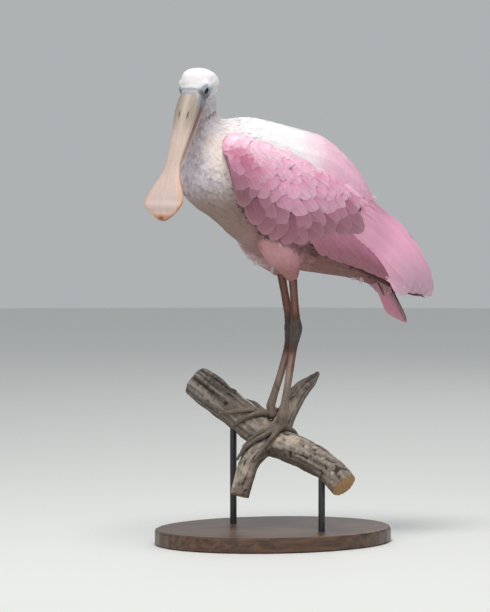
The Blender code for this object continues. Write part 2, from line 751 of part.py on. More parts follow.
def make_base(finish):
    """An oval board with its edges eased."""
    around, rings = 32, []
    levels = ((0, -BASE_EDGE / 2), (BASE_EDGE / 2, 0), (BASE_THICK - BASE_EDGE, 0),
              (BASE_THICK - BASE_EDGE * 0.3, -BASE_EDGE * 0.3), (BASE_THICK, -BASE_EDGE))
    for height, inset in levels:
        ring = []
        for j in range(around):
            angle = 2 * math.pi * j / around
            ring.append(Vector(((BASE_LENGTH / 2 + inset) * math.cos(angle),
                                (BASE_DEPTH / 2 + inset) * math.sin(angle), height)) * MM)
        rings.append(ring)
    return skin_rings("stand_base", rings, finish)


def make_rod(name, foot_at, top, perch, finish):
    """A rod from the board up to the underside of the branch."""
    x, y = foot_at
    low = BASE_THICK + GAP - FEET_LEVEL
    rod = tube(name, [(x, y, low, ROD_RADIUS), (x, y, top, ROD_RADIUS)], 2, ROD_SIDES, 0.0, finish)
    return cut(rod, grown(perch))


def main():
    clear_scene()
    finishes = {
        "head": material("white_down", (0.86, 0.85, 0.84), 0.8),
        "neck": material("grey_white_plumage", (0.70, 0.66, 0.63), 0.85),
        "torso": material("pale_plumage", (0.85, 0.74, 0.75), 0.85),
        "wing": material("pink_plumage", (0.80, 0.44, 0.54), 0.75),
        "tail": material("rose_tail", (0.76, 0.42, 0.47), 0.75),
        "bill": material("bill_horn", (0.62, 0.48, 0.43), 0.45),
        "eye": material("eye", (0.03, 0.01, 0.01), 0.08),
        "leg": material("leg_scale", (0.30, 0.16, 0.13), 0.6),
        "perch": material("weathered_bark", (0.27, 0.23, 0.20), 0.9),
        "rod": material("rod_metal", (0.25, 0.24, 0.23), 0.35),
        "base": material("base_board", (0.16, 0.11, 0.08), 0.45),
    }
    core = make_bird_core(finishes)
    make_bill(core["head"], finishes)
    perch = make_perch(finishes["perch"])
    thighs = [make_leg(side, core["torso"], perch, finishes) for side in (1, -1)]
    sheet = WingSheet(tree_of(core["torso"]))
    wing = make_wing(sheet, finishes["wing"])
    cut(wing, grown(core["torso"]))
    cut(mirrored(wing, "wing_right"), grown(thighs[1]))
    cut(wing, grown(thighs[0]))
    make_tail(core["torso"], finishes["tail"])
    make_base(finishes["base"])
    make_rod("stand_rod_back", (-30, 52), 15, perch, finishes["rod"])
    make_rod("stand_rod_front", (36, -64), -40, perch, finishes["rod"])


main()
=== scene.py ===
"""A roseate spoonbill on a weathered branch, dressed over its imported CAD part."""

import math

import bmesh
import bpy
import numpy as np
from mathutils import Matrix, Vector, noise
from mathutils.bvhtree import BVHTree
from mathutils.kdtree import KDTree


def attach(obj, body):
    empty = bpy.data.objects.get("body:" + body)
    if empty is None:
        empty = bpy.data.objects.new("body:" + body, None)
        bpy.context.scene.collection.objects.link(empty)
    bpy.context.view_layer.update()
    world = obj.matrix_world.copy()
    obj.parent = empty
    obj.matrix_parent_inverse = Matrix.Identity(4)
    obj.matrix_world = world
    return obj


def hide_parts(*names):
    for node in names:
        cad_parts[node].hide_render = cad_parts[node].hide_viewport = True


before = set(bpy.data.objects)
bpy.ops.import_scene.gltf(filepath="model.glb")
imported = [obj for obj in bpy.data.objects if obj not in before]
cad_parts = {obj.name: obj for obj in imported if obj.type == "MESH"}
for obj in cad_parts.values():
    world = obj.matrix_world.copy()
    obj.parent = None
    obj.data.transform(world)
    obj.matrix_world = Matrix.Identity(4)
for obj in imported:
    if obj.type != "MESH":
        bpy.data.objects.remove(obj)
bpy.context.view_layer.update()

# Floor, light and camera
# A pale studio floor, one broad soft light overhead, a wide one from the camera's side and a weak
# one behind. The camera stands level with the bird, a little ahead of its left side.

MM = 0.001
FEET = 140.0


def place(x, y, z):
    """A point given in millimetres, with its height counted from the bird's feet."""
    return Vector((x, y, z + FEET)) * MM


def tone(red, green, blue):
    """A screen colour from 0 to 255 as the shader's linear one."""
    linear = tuple((c / 255 / 12.92 if c < 11 else ((c / 255 + 0.055) / 1.055) ** 2.4) for c in (red, green, blue))
    return linear + (1.0,)


def node(tree, kind, inputs=(), **settings):
    """A node with its settings, and its inputs as values or as other nodes' outputs."""
    made = tree.nodes.new(kind)
    for key, value in settings.items():
        setattr(made, key, value)
    for key, value in dict(inputs).items():
        socket = made.inputs[key]
        if isinstance(value, bpy.types.NodeSocket):
            tree.links.new(value, socket)
        else:
            socket.default_value = value
    return made


def finish_of(name, roughness, **plain):
    """A new material, its tree and its shader, with what is the same all over set on the shader."""
    material = bpy.data.materials.new(name)
    material.use_nodes = True
    shader = material.node_tree.nodes["Principled BSDF"]
    shader.inputs["Roughness"].default_value = roughness
    for key, value in plain.items():
        shader.inputs[key.replace("_", " ")].default_value = value
    return material, material.node_tree, shader


def piece_of(name, vertices, faces, material, smooth=True):
    """A mesh object at the origin, from points in metres."""
    mesh = bpy.data.meshes.new(name)
    mesh.from_pydata([tuple(v) for v in vertices], [], faces)
    mesh.update()
    if smooth:
        mesh.shade_smooth()
    if material is not None:
        mesh.materials.append(material)
    made = bpy.data.objects.new(name, mesh)
    bpy.context.scene.collection.objects.link(made)
    return made


def soft_light(name, at, aim, size, power, colour):
    lamp = bpy.data.lights.new(name, "AREA")
    lamp.shape, lamp.size, lamp.energy, lamp.color = "DISK", size, power, colour
    holder = bpy.data.objects.new(name, lamp)
    holder.location = at
    holder.rotation_euler = (Vector(aim) - Vector(at)).to_track_quat("-Z", "Y").to_euler()
    bpy.context.scene.collection.objects.link(holder)


floor_paint, _, floor_shader = finish_of("floor_paint", 0.75)
floor_shader.inputs["Base Color"].default_value = tone(224, 225, 223)
floor = piece_of("floor", [(4 * math.cos(a * math.pi / 24), 4 * math.sin(a * math.pi / 24), -0.0004)
                           for a in range(48)], [list(range(48))], floor_paint)

world = bpy.data.worlds.new("studio")
world.use_nodes = True
world.node_tree.nodes["Background"].inputs["Color"].default_value = tone(226, 230, 232)
world.node_tree.nodes["Background"].inputs["Strength"].default_value = 0.56
bpy.context.scene.world = world
bpy.context.scene.view_settings.view_transform = "Standard"
soft_light("overhead", (-0.35, -0.55, 2.1), (0, 0, 0.42), 0.9, 33, (1.0, 0.985, 0.95))
soft_light("front_fill", (-1.6, -2.0, 0.9), (0, 0, 0.35), 1.8, 3.6, (0.96, 0.98, 1.0))
soft_light("back", (1.3, 1.6, 1.5), (0, 0, 0.4), 1.4, 5, (1.0, 1.0, 1.0))

AZIMUTH, ELEVATION = math.radians(-22), math.radians(4)
CAMERA_AWAY, VIEW_HIGH, FILM_HIGH = 6.0, 0.72857, 36.0  # metres, metres, millimetres
right = Vector((math.cos(AZIMUTH), math.sin(AZIMUTH), 0))
back = Vector((math.sin(AZIMUTH) * math.cos(ELEVATION), -math.cos(AZIMUTH) * math.cos(ELEVATION),
               math.sin(ELEVATION)))
above = back.cross(right)
aim = Vector((0, 0, FEET * MM)) + right * -0.03333 + above * 0.14167
camera = bpy.data.objects.new("camera", bpy.data.cameras.new("camera"))
camera.data.sensor_fit, camera.data.sensor_height = "VERTICAL", FILM_HIGH
camera.data.lens = FILM_HIGH * CAMERA_AWAY / VIEW_HIGH
turned = Matrix((right, above, back)).transposed().to_4x4()
camera.matrix_world = Matrix.Translation(aim + back * CAMERA_AWAY) @ turned
bpy.context.scene.collection.objects.link(camera)
bpy.context.scene.camera = camera

# Skin
# One hide over head, neck, trunk, folded upper wings and thighs, without seams. It is the solids'
# own surface, closed over their cuts and drawn in by the depth of the plumage that covers it.

EYE_DROP = 3.2  # the lids open a little below the middle of the brow
SKIN_CELL = 1.7 * MM
BODY = (  # dorsal x and z, ventral x and z, half width, sideways shift
    (-92, 415, -108, 405, 8, -20), (-79, 405, -102, 391, 13, -13), (-76, 391, -105, 375, 16, -9),
    (-75, 379, -110, 355, 18, -6), (-70, 369, -116, 329, 22, -3), (-62, 367, -119, 302, 31, -1),
    (-54, 367.5, -115, 277, 40, 0), (-44, 368.5, -97, 258, 46, 0), (-28, 368.5, -74, 243, 50, 0),
    (3, 361.5, -47, 219, 52, 0), (35, 353, -14, 198, 52, 0), (66, 344, 24, 184, 50, 0),
    (95, 320, 64, 177, 45, 0), (118, 290, 96, 172, 36, 0), (134, 257, 113, 167, 27, 0),
    (141, 224, 122, 164, 20, 0), (144, 196, 128, 162, 15, 0))
THIGH = (  # x, y and z of the middle, radius
    (-22, -26, 250, 17), (-14, -30, 232, 23), (-3, -30, 212, 23), (8, -26, 195, 17),
    (14, -22, 183, 11), (17.2, -19.6, 175, 7.4))
# the left wing seen from its side: its upper edge, its lower edge and how far it swells between them
WING_UPPER = ((-79, -33, 332), (-68, -36, 347), (-30, -38, 337), (19, -38, 314), (66, -32, 291),
              (111, -22, 268), (153, -9, 241), (183, -5, 207), (197, -4, 180), (203, -4, 152))
WING_LOWER = ((-79, -38, 315), (-68, -48, 279), (-44, -52, 247), (-8, -54, 225), (30, -52, 211),
              (75, -46, 197), (119, -36, 181), (150, -27, 167), (175, -18, 155), (195, -10, 146))
WING_BELLY = (2, 6, 8, 8, 7, 7, 6, 5, 3, 1)
BILL_PITCH, HEAD_YAW = math.radians(64), math.radians(34)
HEAD_ORIGIN = (-121, -35, 398)
EYES = {  # middle, and the way it looks
    "left": ((-103.06, -40.71, 403.65 - EYE_DROP), (0.006, -0.98, -0.2)),
    "right": ((-119.57, -16.22, 403.68 - EYE_DROP), (-0.906, 0.368, -0.207))}


def smooth_rows(rows, count):
    """Rows of numbers drawn as smooth curves through the given ones."""
    rows = np.array(rows, float)
    padded = np.vstack([2 * rows[0] - rows[1], rows, 2 * rows[-1] - rows[-2]])
    made = []
    for s in np.linspace(0, len(rows) - 1, count):
        k = min(int(s), len(rows) - 2)
        t, (a, b, c, d) = s - k, padded[k:k + 4]
        made.append(b + 0.5 * t * (c - a + t * (2 * a - 5 * b + 4 * c - d + t * (3 * (b - c) + d - a))))
    return np.array(made)


def step(low, high, value):
    """0 below low, 1 above high, and a smooth rise between them."""
    t = np.clip((value - low) / (high - low), 0, 1)
    return t * t * (3 - 2 * t)


def node_mesh(names, swell=0.0):
    """CAD nodes' surfaces in one mesh, their points merged and moved out along their normals."""
    bm = bmesh.new()
    for name in names:
        bm.from_mesh(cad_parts[name].data)
    bmesh.ops.remove_doubles(bm, verts=bm.verts, dist=2e-6)
    bm.normal_update()
    for vertex in bm.verts:
        vertex.co += vertex.normal * swell
    mesh = bpy.data.meshes.new("copy")
    bm.to_mesh(mesh)
    bm.free()
    return mesh


def remeshed(made, cell, rounds):
    """Wraps an object in one closed mesh of even cells, and smooths it."""
    wrap = made.modifiers.new("wrap", "REMESH")
    wrap.mode, wrap.voxel_size = "VOXEL", cell
    ease = made.modifiers.new("ease", "SMOOTH")
    ease.factor, ease.iterations = 0.5, rounds
    mesh = bpy.data.meshes.new_from_object(made.evaluated_get(bpy.context.evaluated_depsgraph_get()))
    made.modifiers.clear()
    made.data = mesh
    mesh.shade_smooth()
    return made


def numbers(mesh, source, name, size, kind=np.float32):
    """One property of all the mesh's points or edges as an array."""
    found = np.empty(len(getattr(mesh, source)) * size, kind)
    getattr(mesh, source).foreach_get(name, found)
    return found.reshape(-1, size)


def store(mesh, name, values, kind="FLOAT"):
    """Values for each point, kept as a named attribute."""
    if name in mesh.attributes:
        mesh.attributes.remove(mesh.attributes[name])
    made = mesh.attributes.new(name, kind, "POINT")
    field = {"FLOAT": "value", "FLOAT_VECTOR": "vector", "FLOAT_COLOR": "color"}[kind]
    made.data.foreach_set(field, np.ascontiguousarray(values, np.float32).ravel())


class WingSheet:
    """The outer surface of a folded wing, from bend (0) to tip (1) and from upper (0) to lower edge (1)."""

    ALONG, DOWN = 41, 17

    def __init__(self, tree, side):
        upper, lower = smooth_rows(WING_UPPER, self.ALONG), smooth_rows(WING_LOWER, self.ALONG)
        belly = smooth_rows([[b] for b in WING_BELLY], self.ALONG)[:, 0]
        down = np.linspace(0, 1, self.DOWN)
        grid = upper[:, None, :] + (lower - upper)[:, None, :] * down[None, :, None]
        grid[:, :, 1] -= belly[:, None] * (4 * down * (1 - down))[None, :]
        for point in grid.reshape(-1, 3):
            hit = tree.ray_cast(place(point[0], -200, point[2]), Vector((0, 1, 0)))[0]
            if hit is not None:
                point[1] = min(point[1], hit.y / MM - 8.0)
        for _ in range(3):
            edge = np.pad(grid[:, :, 1], 1, mode="edge")
            beside = edge[:-2, 1:-1] + edge[2:, 1:-1] + edge[1:-1, :-2] + edge[1:-1, 2:]
            grid[:, :, 1] = (beside + 4 * grid[:, :, 1]) / 8
        grid[:, :, 1] *= side
        self.grid, self.side = grid, side

    def point(self, along, down):
        a = min(max(along, 0.0), 1.0) * (self.ALONG - 1)
        d = min(max(down, 0.0), 1.0) * (self.DOWN - 1)
        i, j = min(int(a), self.ALONG - 2), min(int(d), self.DOWN - 2)
        p, q, g = a - i, d - j, self.grid
        here = ((g[i, j] * (1 - p) + g[i + 1, j] * p) * (1 - q)
                + (g[i, j + 1] * (1 - p) + g[i + 1, j + 1] * p) * q)
        past_end = g[-1, j] - g[-3, j] if along > 0 else g[4, j] - g[2, j]
        past = (along - min(max(along, 0.0), 1.0)) * past_end * (self.ALONG - 1) / 2
        return Vector(here + past + (down - min(max(down, 0.0), 1.0)) * (g[i, -1] - g[i, 0]))

    def frame(self, along, down):
        """Two tangents and the outward normal."""
        reach = 0.02
        a = (self.point(along + reach, down) - self.point(along - reach, down)) / (2 * reach)
        d = (self.point(along, down + reach) - self.point(along, down - reach)) / (2 * reach)
        normal = a.cross(d).normalized()
        return a, d, normal if normal.y * self.side < 0 else -normal

    def shifted(self, along, down, offset, axes):
        """Coordinates moved by an offset in millimetres that lies in the surface."""
        a, d, _ = axes
        aa, dd, ad, oa, od = a.dot(a), d.dot(d), a.dot(d), offset.dot(a), offset.dot(d)
        scale = aa * dd - ad * ad
        return along + (oa * dd - od * ad) / scale, down + (od * aa - oa * ad) / scale


def wing_bed(sheet):
    """The flesh of a folded wing, closed, from the sheet down into the flank."""
    rows, columns, points, faces = 36, 12, [], []
    for deep in (0, 1):
        for i in range(rows):
            for j in range(columns):
                along, down = 0.01 + i / (rows - 1) * 0.80, 0.03 + 0.94 * j / (columns - 1)
                edge = abs(2 * down - 1) ** 4
                sunk = 1.4 + edge * 2.4 if not deep else 5 + 9 * (1 - along)
                points.append(place(*(sheet.point(along, down) - sheet.frame(along, down)[2] * sunk)))
    shift = rows * columns
    for i in range(rows - 1):
        for j in range(columns - 1):
            a = i * columns + j
            faces += [(a, a + 1, a + columns + 1, a + columns),
                      (a + shift, a + columns + shift, a + columns + 1 + shift, a + 1 + shift)]
    rim = list(range(columns - 1)) + [i * columns + columns - 1 for i in range(rows - 1)]
    rim += [(rows - 1) * columns + j for j in range(columns - 1, 0, -1)]
    rim += [i * columns for i in range(rows - 1, 0, -1)]
    for a, b in zip(rim, rim[1:] + rim[:1]):
        faces.append((a, a + shift, b + shift, b))
    return points, faces


torso_mesh = node_mesh(["torso"])
torso_tree = BVHTree.FromPolygons([v.co for v in torso_mesh.vertices],
                                  [p.vertices for p in torso_mesh.polygons])
sheets = {"left": WingSheet(torso_tree, 1), "right": WingSheet(torso_tree, -1)}
skin = bpy.data.objects.new("skin", node_mesh(["head", "neck", "torso", "thigh_left", "thigh_right"], 0.32 * MM))
bpy.context.scene.collection.objects.link(skin)
joined = bmesh.new()
joined.from_mesh(skin.data)
for name in ("eye_left", "eye_right"):
    joined.from_mesh(node_mesh([name], -0.4 * MM))
    known = len(joined.verts)
    joined.from_mesh(node_mesh([name], -0.4 * MM))
    for point in list(joined.verts)[known:]:
        point.co.z -= EYE_DROP * MM
for sheet in sheets.values():
    points, faces = wing_bed(sheet)
    made = [joined.verts.new(p) for p in points]
    fresh = [joined.faces.new([made[i] for i in face]) for face in faces]
    bmesh.ops.recalc_face_normals(joined, faces=fresh)
joined.to_mesh(skin.data)
joined.free()
remeshed(skin, SKIN_CELL, 4)


def head_axes():
    """Forward along the bill, the bird's left, and up from the crown."""
    level = Vector((-math.cos(HEAD_YAW), -math.sin(HEAD_YAW), 0))
    forward = level * math.cos(BILL_PITCH) + Vector((0, 0, -math.sin(BILL_PITCH)))
    left = Vector((0, 0, 1)).cross(level)
    return forward, left, forward.cross(left)


def on_head(forward, left, up):
    """A place in millimetres along the head's own axes, from the top of the bill's root."""
    ahead, aside, over = head_axes()
    return place(*HEAD_ORIGIN) + (ahead * forward + aside * left + over * up) * MM


# how the plumage lies: points of the forms beneath, each with its way and what it lies on
ON_BODY, ON_THIGH, ON_HEAD, ON_WING = range(4)
WING_STATIONS = 34  # how far along the wing its flesh carries small feathers
cloud, ways, kinds, shares = [], [], [], []


def add_rings(rings, kind):
    """A limb's cross-sections in order: the plumage lies from each to the next."""
    rings = np.array(rings)
    flow = np.gradient(rings, axis=0)
    for i in range(len(rings)):
        for j in range(rings.shape[1]):
            cloud.append(rings[i, j])
            ways.append(flow[i, j])
            kinds.append(kind)
            shares.append((i / (len(rings) - 1), math.cos(2 * math.pi * j / rings.shape[1])))


rings = []
for dx, dz, vx, vz, half, aside in smooth_rows(BODY, 90):
    dorsal, ventral = place(dx, aside, dz), place(vx, aside, vz)
    rings.append([(dorsal + ventral) / 2 + (dorsal - ventral) / 2 * math.cos(t)
                  + Vector((0, half * MM * math.sin(t), 0))
                  for t in np.linspace(0, 2 * math.pi, 44, endpoint=False)])
add_rings(rings, ON_BODY)
for side in (1, -1):
    rings = []
    for x, y, z, r in smooth_rows(THIGH, 16):
        rings.append([place(x + r * math.cos(t), side * y + r * math.sin(t), z)
                      for t in np.linspace(0, 2 * math.pi, 16, endpoint=False)])
    add_rings(rings[3:], ON_THIGH)
bill_root, nape = on_head(0, 0, -8), place(-80, -10, 398)
for vertex in node_mesh(["head"]).vertices:
    cloud.append(vertex.co)
    ways.append(((vertex.co - bill_root).normalized() + (nape - bill_root).normalized() * 0.8) * 0.01)
    kinds.append(ON_HEAD)
    shares.append(((vertex.co - bill_root).length, 0))
for sheet in sheets.values():
    flow = np.gradient(sheet.grid, axis=0)
    for i in range(WING_STATIONS):
        for j in range(sheet.DOWN):
            cloud.append(place(*sheet.grid[i, j]))
            ways.append(flow[i, j] + (0, 0, -0.4))
            kinds.append(ON_WING)
            shares.append((i / (sheet.ALONG - 1), j / (sheet.DOWN - 1)))
tree = KDTree(len(cloud))
for i, point in enumerate(cloud):
    tree.insert(point, i)
tree.balance()
mesh = skin.data
P = numbers(mesh, "vertices", "co", 3)
N = numbers(mesh, "vertex_normals", "vector", 3)
edges = numbers(mesh, "edges", "vertices", 2, np.int32)
found = [[i for _, i, _ in tree.find_n(Vector(p), 3)] for p in P]
ways = np.array([np.array(w) / (np.linalg.norm(w) + 1e-9) for w in ways])
lie = np.array([ways[near].sum(0) for near in found])
kind = np.array([kinds[near[0]] for near in found])
share = np.array([shares[near[0]] for near in found])


def move_points(mesh, places):
    """Puts all the mesh's points in new places, in metres."""
    mesh.vertices.foreach_set("co", places.astype(np.float32).ravel())
    mesh.update()


def spread(values, rounds):
    """Values for each point, averaged along the mesh's edges again and again."""
    count = np.bincount(edges.ravel(), minlength=len(P)).astype(float)
    values = np.array(values, float)
    flat = values.reshape(len(P), -1)
    for _ in range(rounds):
        total = np.empty_like(flat)
        for k in range(flat.shape[1]):
            total[:, k] = (np.bincount(edges[:, 0], flat[edges[:, 1], k], len(P))
                           + np.bincount(edges[:, 1], flat[edges[:, 0], k], len(P)))
        flat = (flat + total / np.maximum(count, 1)[:, None]) / 2
    return flat.reshape(values.shape)


lie = spread(lie, 14)
lie -= N * (lie * N).sum(1)[:, None]
lie /= np.linalg.norm(lie, axis=1)[:, None] + 1e-9
head = spread(kind == ON_HEAD, 8)
thigh = spread(kind == ON_THIGH, 8)
wing = spread((kind == ON_WING) & (share[:, 0] > 0.05) & (share[:, 1] > 0.07), 2)
x, y, z = P[:, 0] / MM, P[:, 1] / MM, P[:, 2] / MM - FEET
axes = np.array(head_axes())
H = (P - np.array(place(*HEAD_ORIGIN))) @ axes.T / MM
eye_spots = [np.array(place(*at)) for at, _ in EYES.values()]
behind_eye = min(axes[0] @ (at - np.array(place(*HEAD_ORIGIN))) / MM for at in eye_spots)
near_eye = np.min([np.linalg.norm(P - at, axis=1) for at in eye_spots], axis=0) / MM
depth = 3.4 - 2.0 * head - 1.4 * step(0, 1, thigh) - 0.8 * step(330, 350, z) * step(-50, -20, x)
crown = 1.9 * step(0.3, 0.8, N[:, 2]) + 1.5 * step(0.3, 0.8, N @ np.array((-0.92, 0.37, 0.1)))
depth -= head * step(404, 410, z) * crown
depth = np.where(near_eye < 9, np.minimum(depth, 0.4), depth) * (1 - step(-9, -5, H[:, 0]) * head)
under_horn = step(-4.6, -3.2, H[:, 0]) * step(13, 10, np.abs(H[:, 1])) * step(-8, -4, H[:, 2])
depth = spread(depth, 6) + 1.3 * head * under_horn
N = spread(N, 4)
N /= np.linalg.norm(N, axis=1)[:, None]
P = P - N * depth[:, None] * MM
move_points(mesh, P)
skin_tree = BVHTree.FromPolygons(P.tolist(), [p.vertices for p in mesh.polygons])

# the markings, the same for the hide and the plumage: white head and mantle, grey mottled neck,
# whitish breast, pinkish belly and thighs, pink rump, and painted shade: low on the breast, belly
# and thighs, along the wings' lower edges and in the crease behind the gape
WHITE = tone(241, 237, 240)
JAW_FOLD = np.array(((-94.3, 370.8), (-81.6, 378.0)))  # x and z of the crease behind the gape
blotch = np.array([noise.noise(Vector(p) * 150) + 0.9 * noise.noise(Vector(p) * 420) for p in P])
drift = np.array([noise.noise(Vector(p) * 38) for p in P])
marks = np.tile(np.array(WHITE[:3]), (len(P), 1))


def tint(colour, amount):
    """Lays a colour over the markings, as far as the amount says at each point."""
    marks[:] = marks + (np.array(tone(*colour)[:3]) - marks) * np.clip(amount, 0, 1)[:, None]


front = step(-66, -96, x) * (1 - head)
tint((234, 226, 228), step(-50, -72, x) * step(392, 360, z) * (1 - head))
tint((240, 232, 240), front * step(396, 366, z))
tint((150, 144, 154), 0.56 * step(-78, -104, x) * (1 - head) * step(402, 376, z) * step(222, 280, z)
     * step(0.0, 0.5, blotch))
tint((238, 224, 214), 0.8 * step(-104, -90, x) * step(-56, -70, x) * step(286, 312, z) * step(362, 346, z))
# painted shade: the lower breast turns greyish-brown towards the bottom, for the shade under the body
tint((160, 136, 124), step(-36, -62, x) * step(310, 258, z))
# the belly and flanks pinkish-brown and darker still low down: partly their own colour, partly painted shade
tint((156, 116, 112), step(268, 224, z + 0.5 * x) * step(-80, -40, x))
tint((138, 96, 92), step(240, 205, z) * step(-45, 0, x))
tint((216, 158, 164), thigh)
# the thighs darker low down: partly their own colour, partly painted shade
tint((166, 112, 106), 0.8 * thigh * step(214, 184, z))
tint((226, 212, 214), 0.55 * thigh * (P[:, 1] > 0) * step(2, -16, x))
tint((234, 184, 206), step(-6, 62, x + 20 * drift) * step(225, 250, z))
tint((234, 166, 194), step(62, 122, x + 8 * drift) * step(225, 240, z))
tint((240, 192, 208), 0.8 * np.clip(spread((kind == ON_WING) & (share[:, 0] < 0.12), 5) * 2, 0, 1))
tint((236, 164, 188), wing * 0.8)
# painted shadow: on the bird's sides the hide is darkened within a few millimetres of the wings' lower edges, for the
# shade under them
edge_spots = [sheet.point(along, 1.0) for sheet in sheets.values() for along in np.linspace(0.07, 0.82, 80)]
wing_edge = KDTree(len(edge_spots))
for k, spot in enumerate(edge_spots):
    wing_edge.insert((spot.x, 0, spot.z), k)
wing_edge.balance()
gap = np.array([wing_edge.find((a, 0, c))[2] for a, c in zip(x, z)])
tint((84, 54, 52), 0.8 * step(5.5, 2.5, gap) * (1 - 0.5 * thigh) * step(0.1, 0.5, np.abs(N[:, 1])))
# painted shade: a darker line along the crease behind the gape, on the bird's left side
fold = JAW_FOLD[1] - JAW_FOLD[0]
from_fold = np.column_stack([x, z]) - JAW_FOLD[0]
along_fold = np.clip(from_fold @ fold / (fold @ fold), 0, 1)
off_fold = np.linalg.norm(from_fold - along_fold[:, None] * fold, axis=1)
tint((142, 104, 102), 0.8 * step(2.2, 0.9, off_fold) * (P[:, 1] < 0))
ahead_of_eye = step(behind_eye - 5, behind_eye - 2, H[:, 0])
lore = step(9.0, 6.5, near_eye) * ahead_of_eye
lore += step(-9, -3, H[:, 0]) * step(8, 13, np.abs(H[:, 1])) * head
bare = np.clip(spread(np.clip(lore, 0, 1), 1), 0, 1)
tint((170, 178, 186), bare)
tint((150, 166, 182), 0.8 * step(10, 7, near_eye) * ahead_of_eye * step(-2, -6, H[:, 0]))
tint((96, 96, 100), step(-7, -2, H[:, 0]) * step(10, 14, np.abs(H[:, 1])) * head * 0.85)
tint((128, 116, 110), 0.9 * step(1.0, 2.2, H[:, 0]) * step(9.5, 8, np.abs(H[:, 1])) * head)
tint((196, 198, 208), 0.6 * step(-6, 0, H[:, 0]) * (np.abs(H[:, 1]) < 9) * head)
speck = np.array([noise.cell(Vector(p) * 330) for p in P])
tint((120, 112, 112), 0.5 * step(0.93, 0.97, speck) * front * step(395, 370, z))
store(mesh, "marks", np.column_stack([marks, np.ones(len(P))]), "FLOAT_COLOR")
store(mesh, "out", N, "FLOAT_VECTOR")
store(mesh, "lie", lie, "FLOAT_VECTOR")
bpy.context.view_layer.objects.active = skin
skin.select_set(True)
bpy.ops.object.mode_set(mode="EDIT")
bpy.ops.mesh.select_all(action="SELECT")
bpy.ops.uv.smart_project(angle_limit=math.radians(66), island_margin=0.002)
bpy.ops.object.mode_set(mode="OBJECT")
mesh.uv_layers[0].name = "OFBake"


def painted(tree):
    """The colour that a mesh carries at each point."""
    return node(tree, "ShaderNodeAttribute", attribute_name="marks").outputs["Color"]


def place_in(tree):
    """The place on the piece, in metres."""
    return node(tree, "ShaderNodeTexCoord").outputs["Object"]


def mixed(tree, amount, first, second, blend="MIX"):
    """The second colour laid over the first by an amount from 0 to 1."""
    made = node(tree, "ShaderNodeMix", {0: amount, 6: first, 7: second}, data_type="RGBA", blend_type=blend)
    return made.outputs[2]


def relief(tree, shader, height, distance, strength=1.0):
    """Fine relief on a finish, its depth in metres."""
    bump = node(tree, "ShaderNodeBump", {"Height": height, "Distance": distance, "Strength": strength})
    tree.links.new(bump.outputs["Normal"], shader.inputs["Normal"])


hide_finish, tree, shader = finish_of("bird_hide", 0.7)
grain = node(tree, "ShaderNodeTexNoise", {"Vector": place_in(tree), "Scale": 900.0, "Detail": 4.0})
tree.links.new(mixed(tree, 0.35, painted(tree), grain.outputs["Color"], "SOFT_LIGHT"), shader.inputs["Base Color"])
relief(tree, shader, grain.outputs["Fac"], 0.0006, 0.6)
mesh.materials.clear()
mesh.materials.append(hide_finish)
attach(skin, "root")
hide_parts("head", "neck", "torso", "thigh_left", "thigh_right")

# Plumage of the body
# Small feathers set close all over the hide, each with its tip over the next, shortest round the
# face and longest on the mantle. One network of nodes sets them by the lie stored on the hide.

ROOT_SUNK = -0.3 * MM  # how far a small feather's root lies under the hide
PATCH = 0.003  # the share of the hide's unwrap that one feather takes


def plume(name, barbs, spread_at, wide, ragged=0.26, cup=0.02):
    """A small feather one unit long: barbs that leave its shaft in turn and end on its rounded edge."""
    points, faces, uv, rises = [], [], [], []
    for k in range(barbs):
        side = 2 * k / (barbs - 1) - 1
        foot = Vector((0.32 * (1 - abs(side)), 0, 0))
        nick = ragged * ((k * 0.618 + 0.3) % 1)
        tip = Vector((0.72 + 0.28 * math.cos(side * 1.5) - nick, side * wide * 0.5, 0))
        way = tip - foot
        beside = Vector((-way.y, way.x, 0)).normalized()
        middle = foot + way * 0.55 + beside * side * spread_at * 0.10
        half = wide / (barbs - 1) * (0.74 if barbs > 10 else 0.62)
        shaft = (foot, middle, middle.lerp(tip, 0.7) + beside * side * 0.02, tip)
        start = len(points)
        for at, share in zip(shaft, (0.25, 1.0, 0.72, 0.0)):
            for turn in ((-1, 1) if share else (0,)):
                spot = at + beside * turn * half * share
                points.append(spot)
                uv.append((0.5 + spot.y / wide * 0.9, min(max(spot.x, 0), 1)))
                height = cup * (0.25 - spot.y ** 2 * 2) + 0.003 * (k % 2)
                rises.append((min(spot.x * 1.6, 1.0) - 0.25 * max(spot.x - 0.7, 0), height))
        faces += [[start + corner for corner in face] for face in ((0, 1, 3, 2), (2, 3, 5, 4), (4, 5, 6))]
    made = piece_of(name, points, faces, None)
    layer = made.data.uv_layers.new(name="vane")
    for loop in made.data.loops:
        layer.data[loop.index].uv = uv[loop.vertex_index]
    store(made.data, "rise", [r[0] for r in rises])
    store(made.data, "camber", [r[1] for r in rises])
    bpy.context.scene.collection.objects.unlink(made)
    return made


def socket(sockets, name=None):
    """The socket in use under a name, where one node keeps several kinds."""
    return next(s for s in sockets if s.enabled and (name is None or s.name == name))


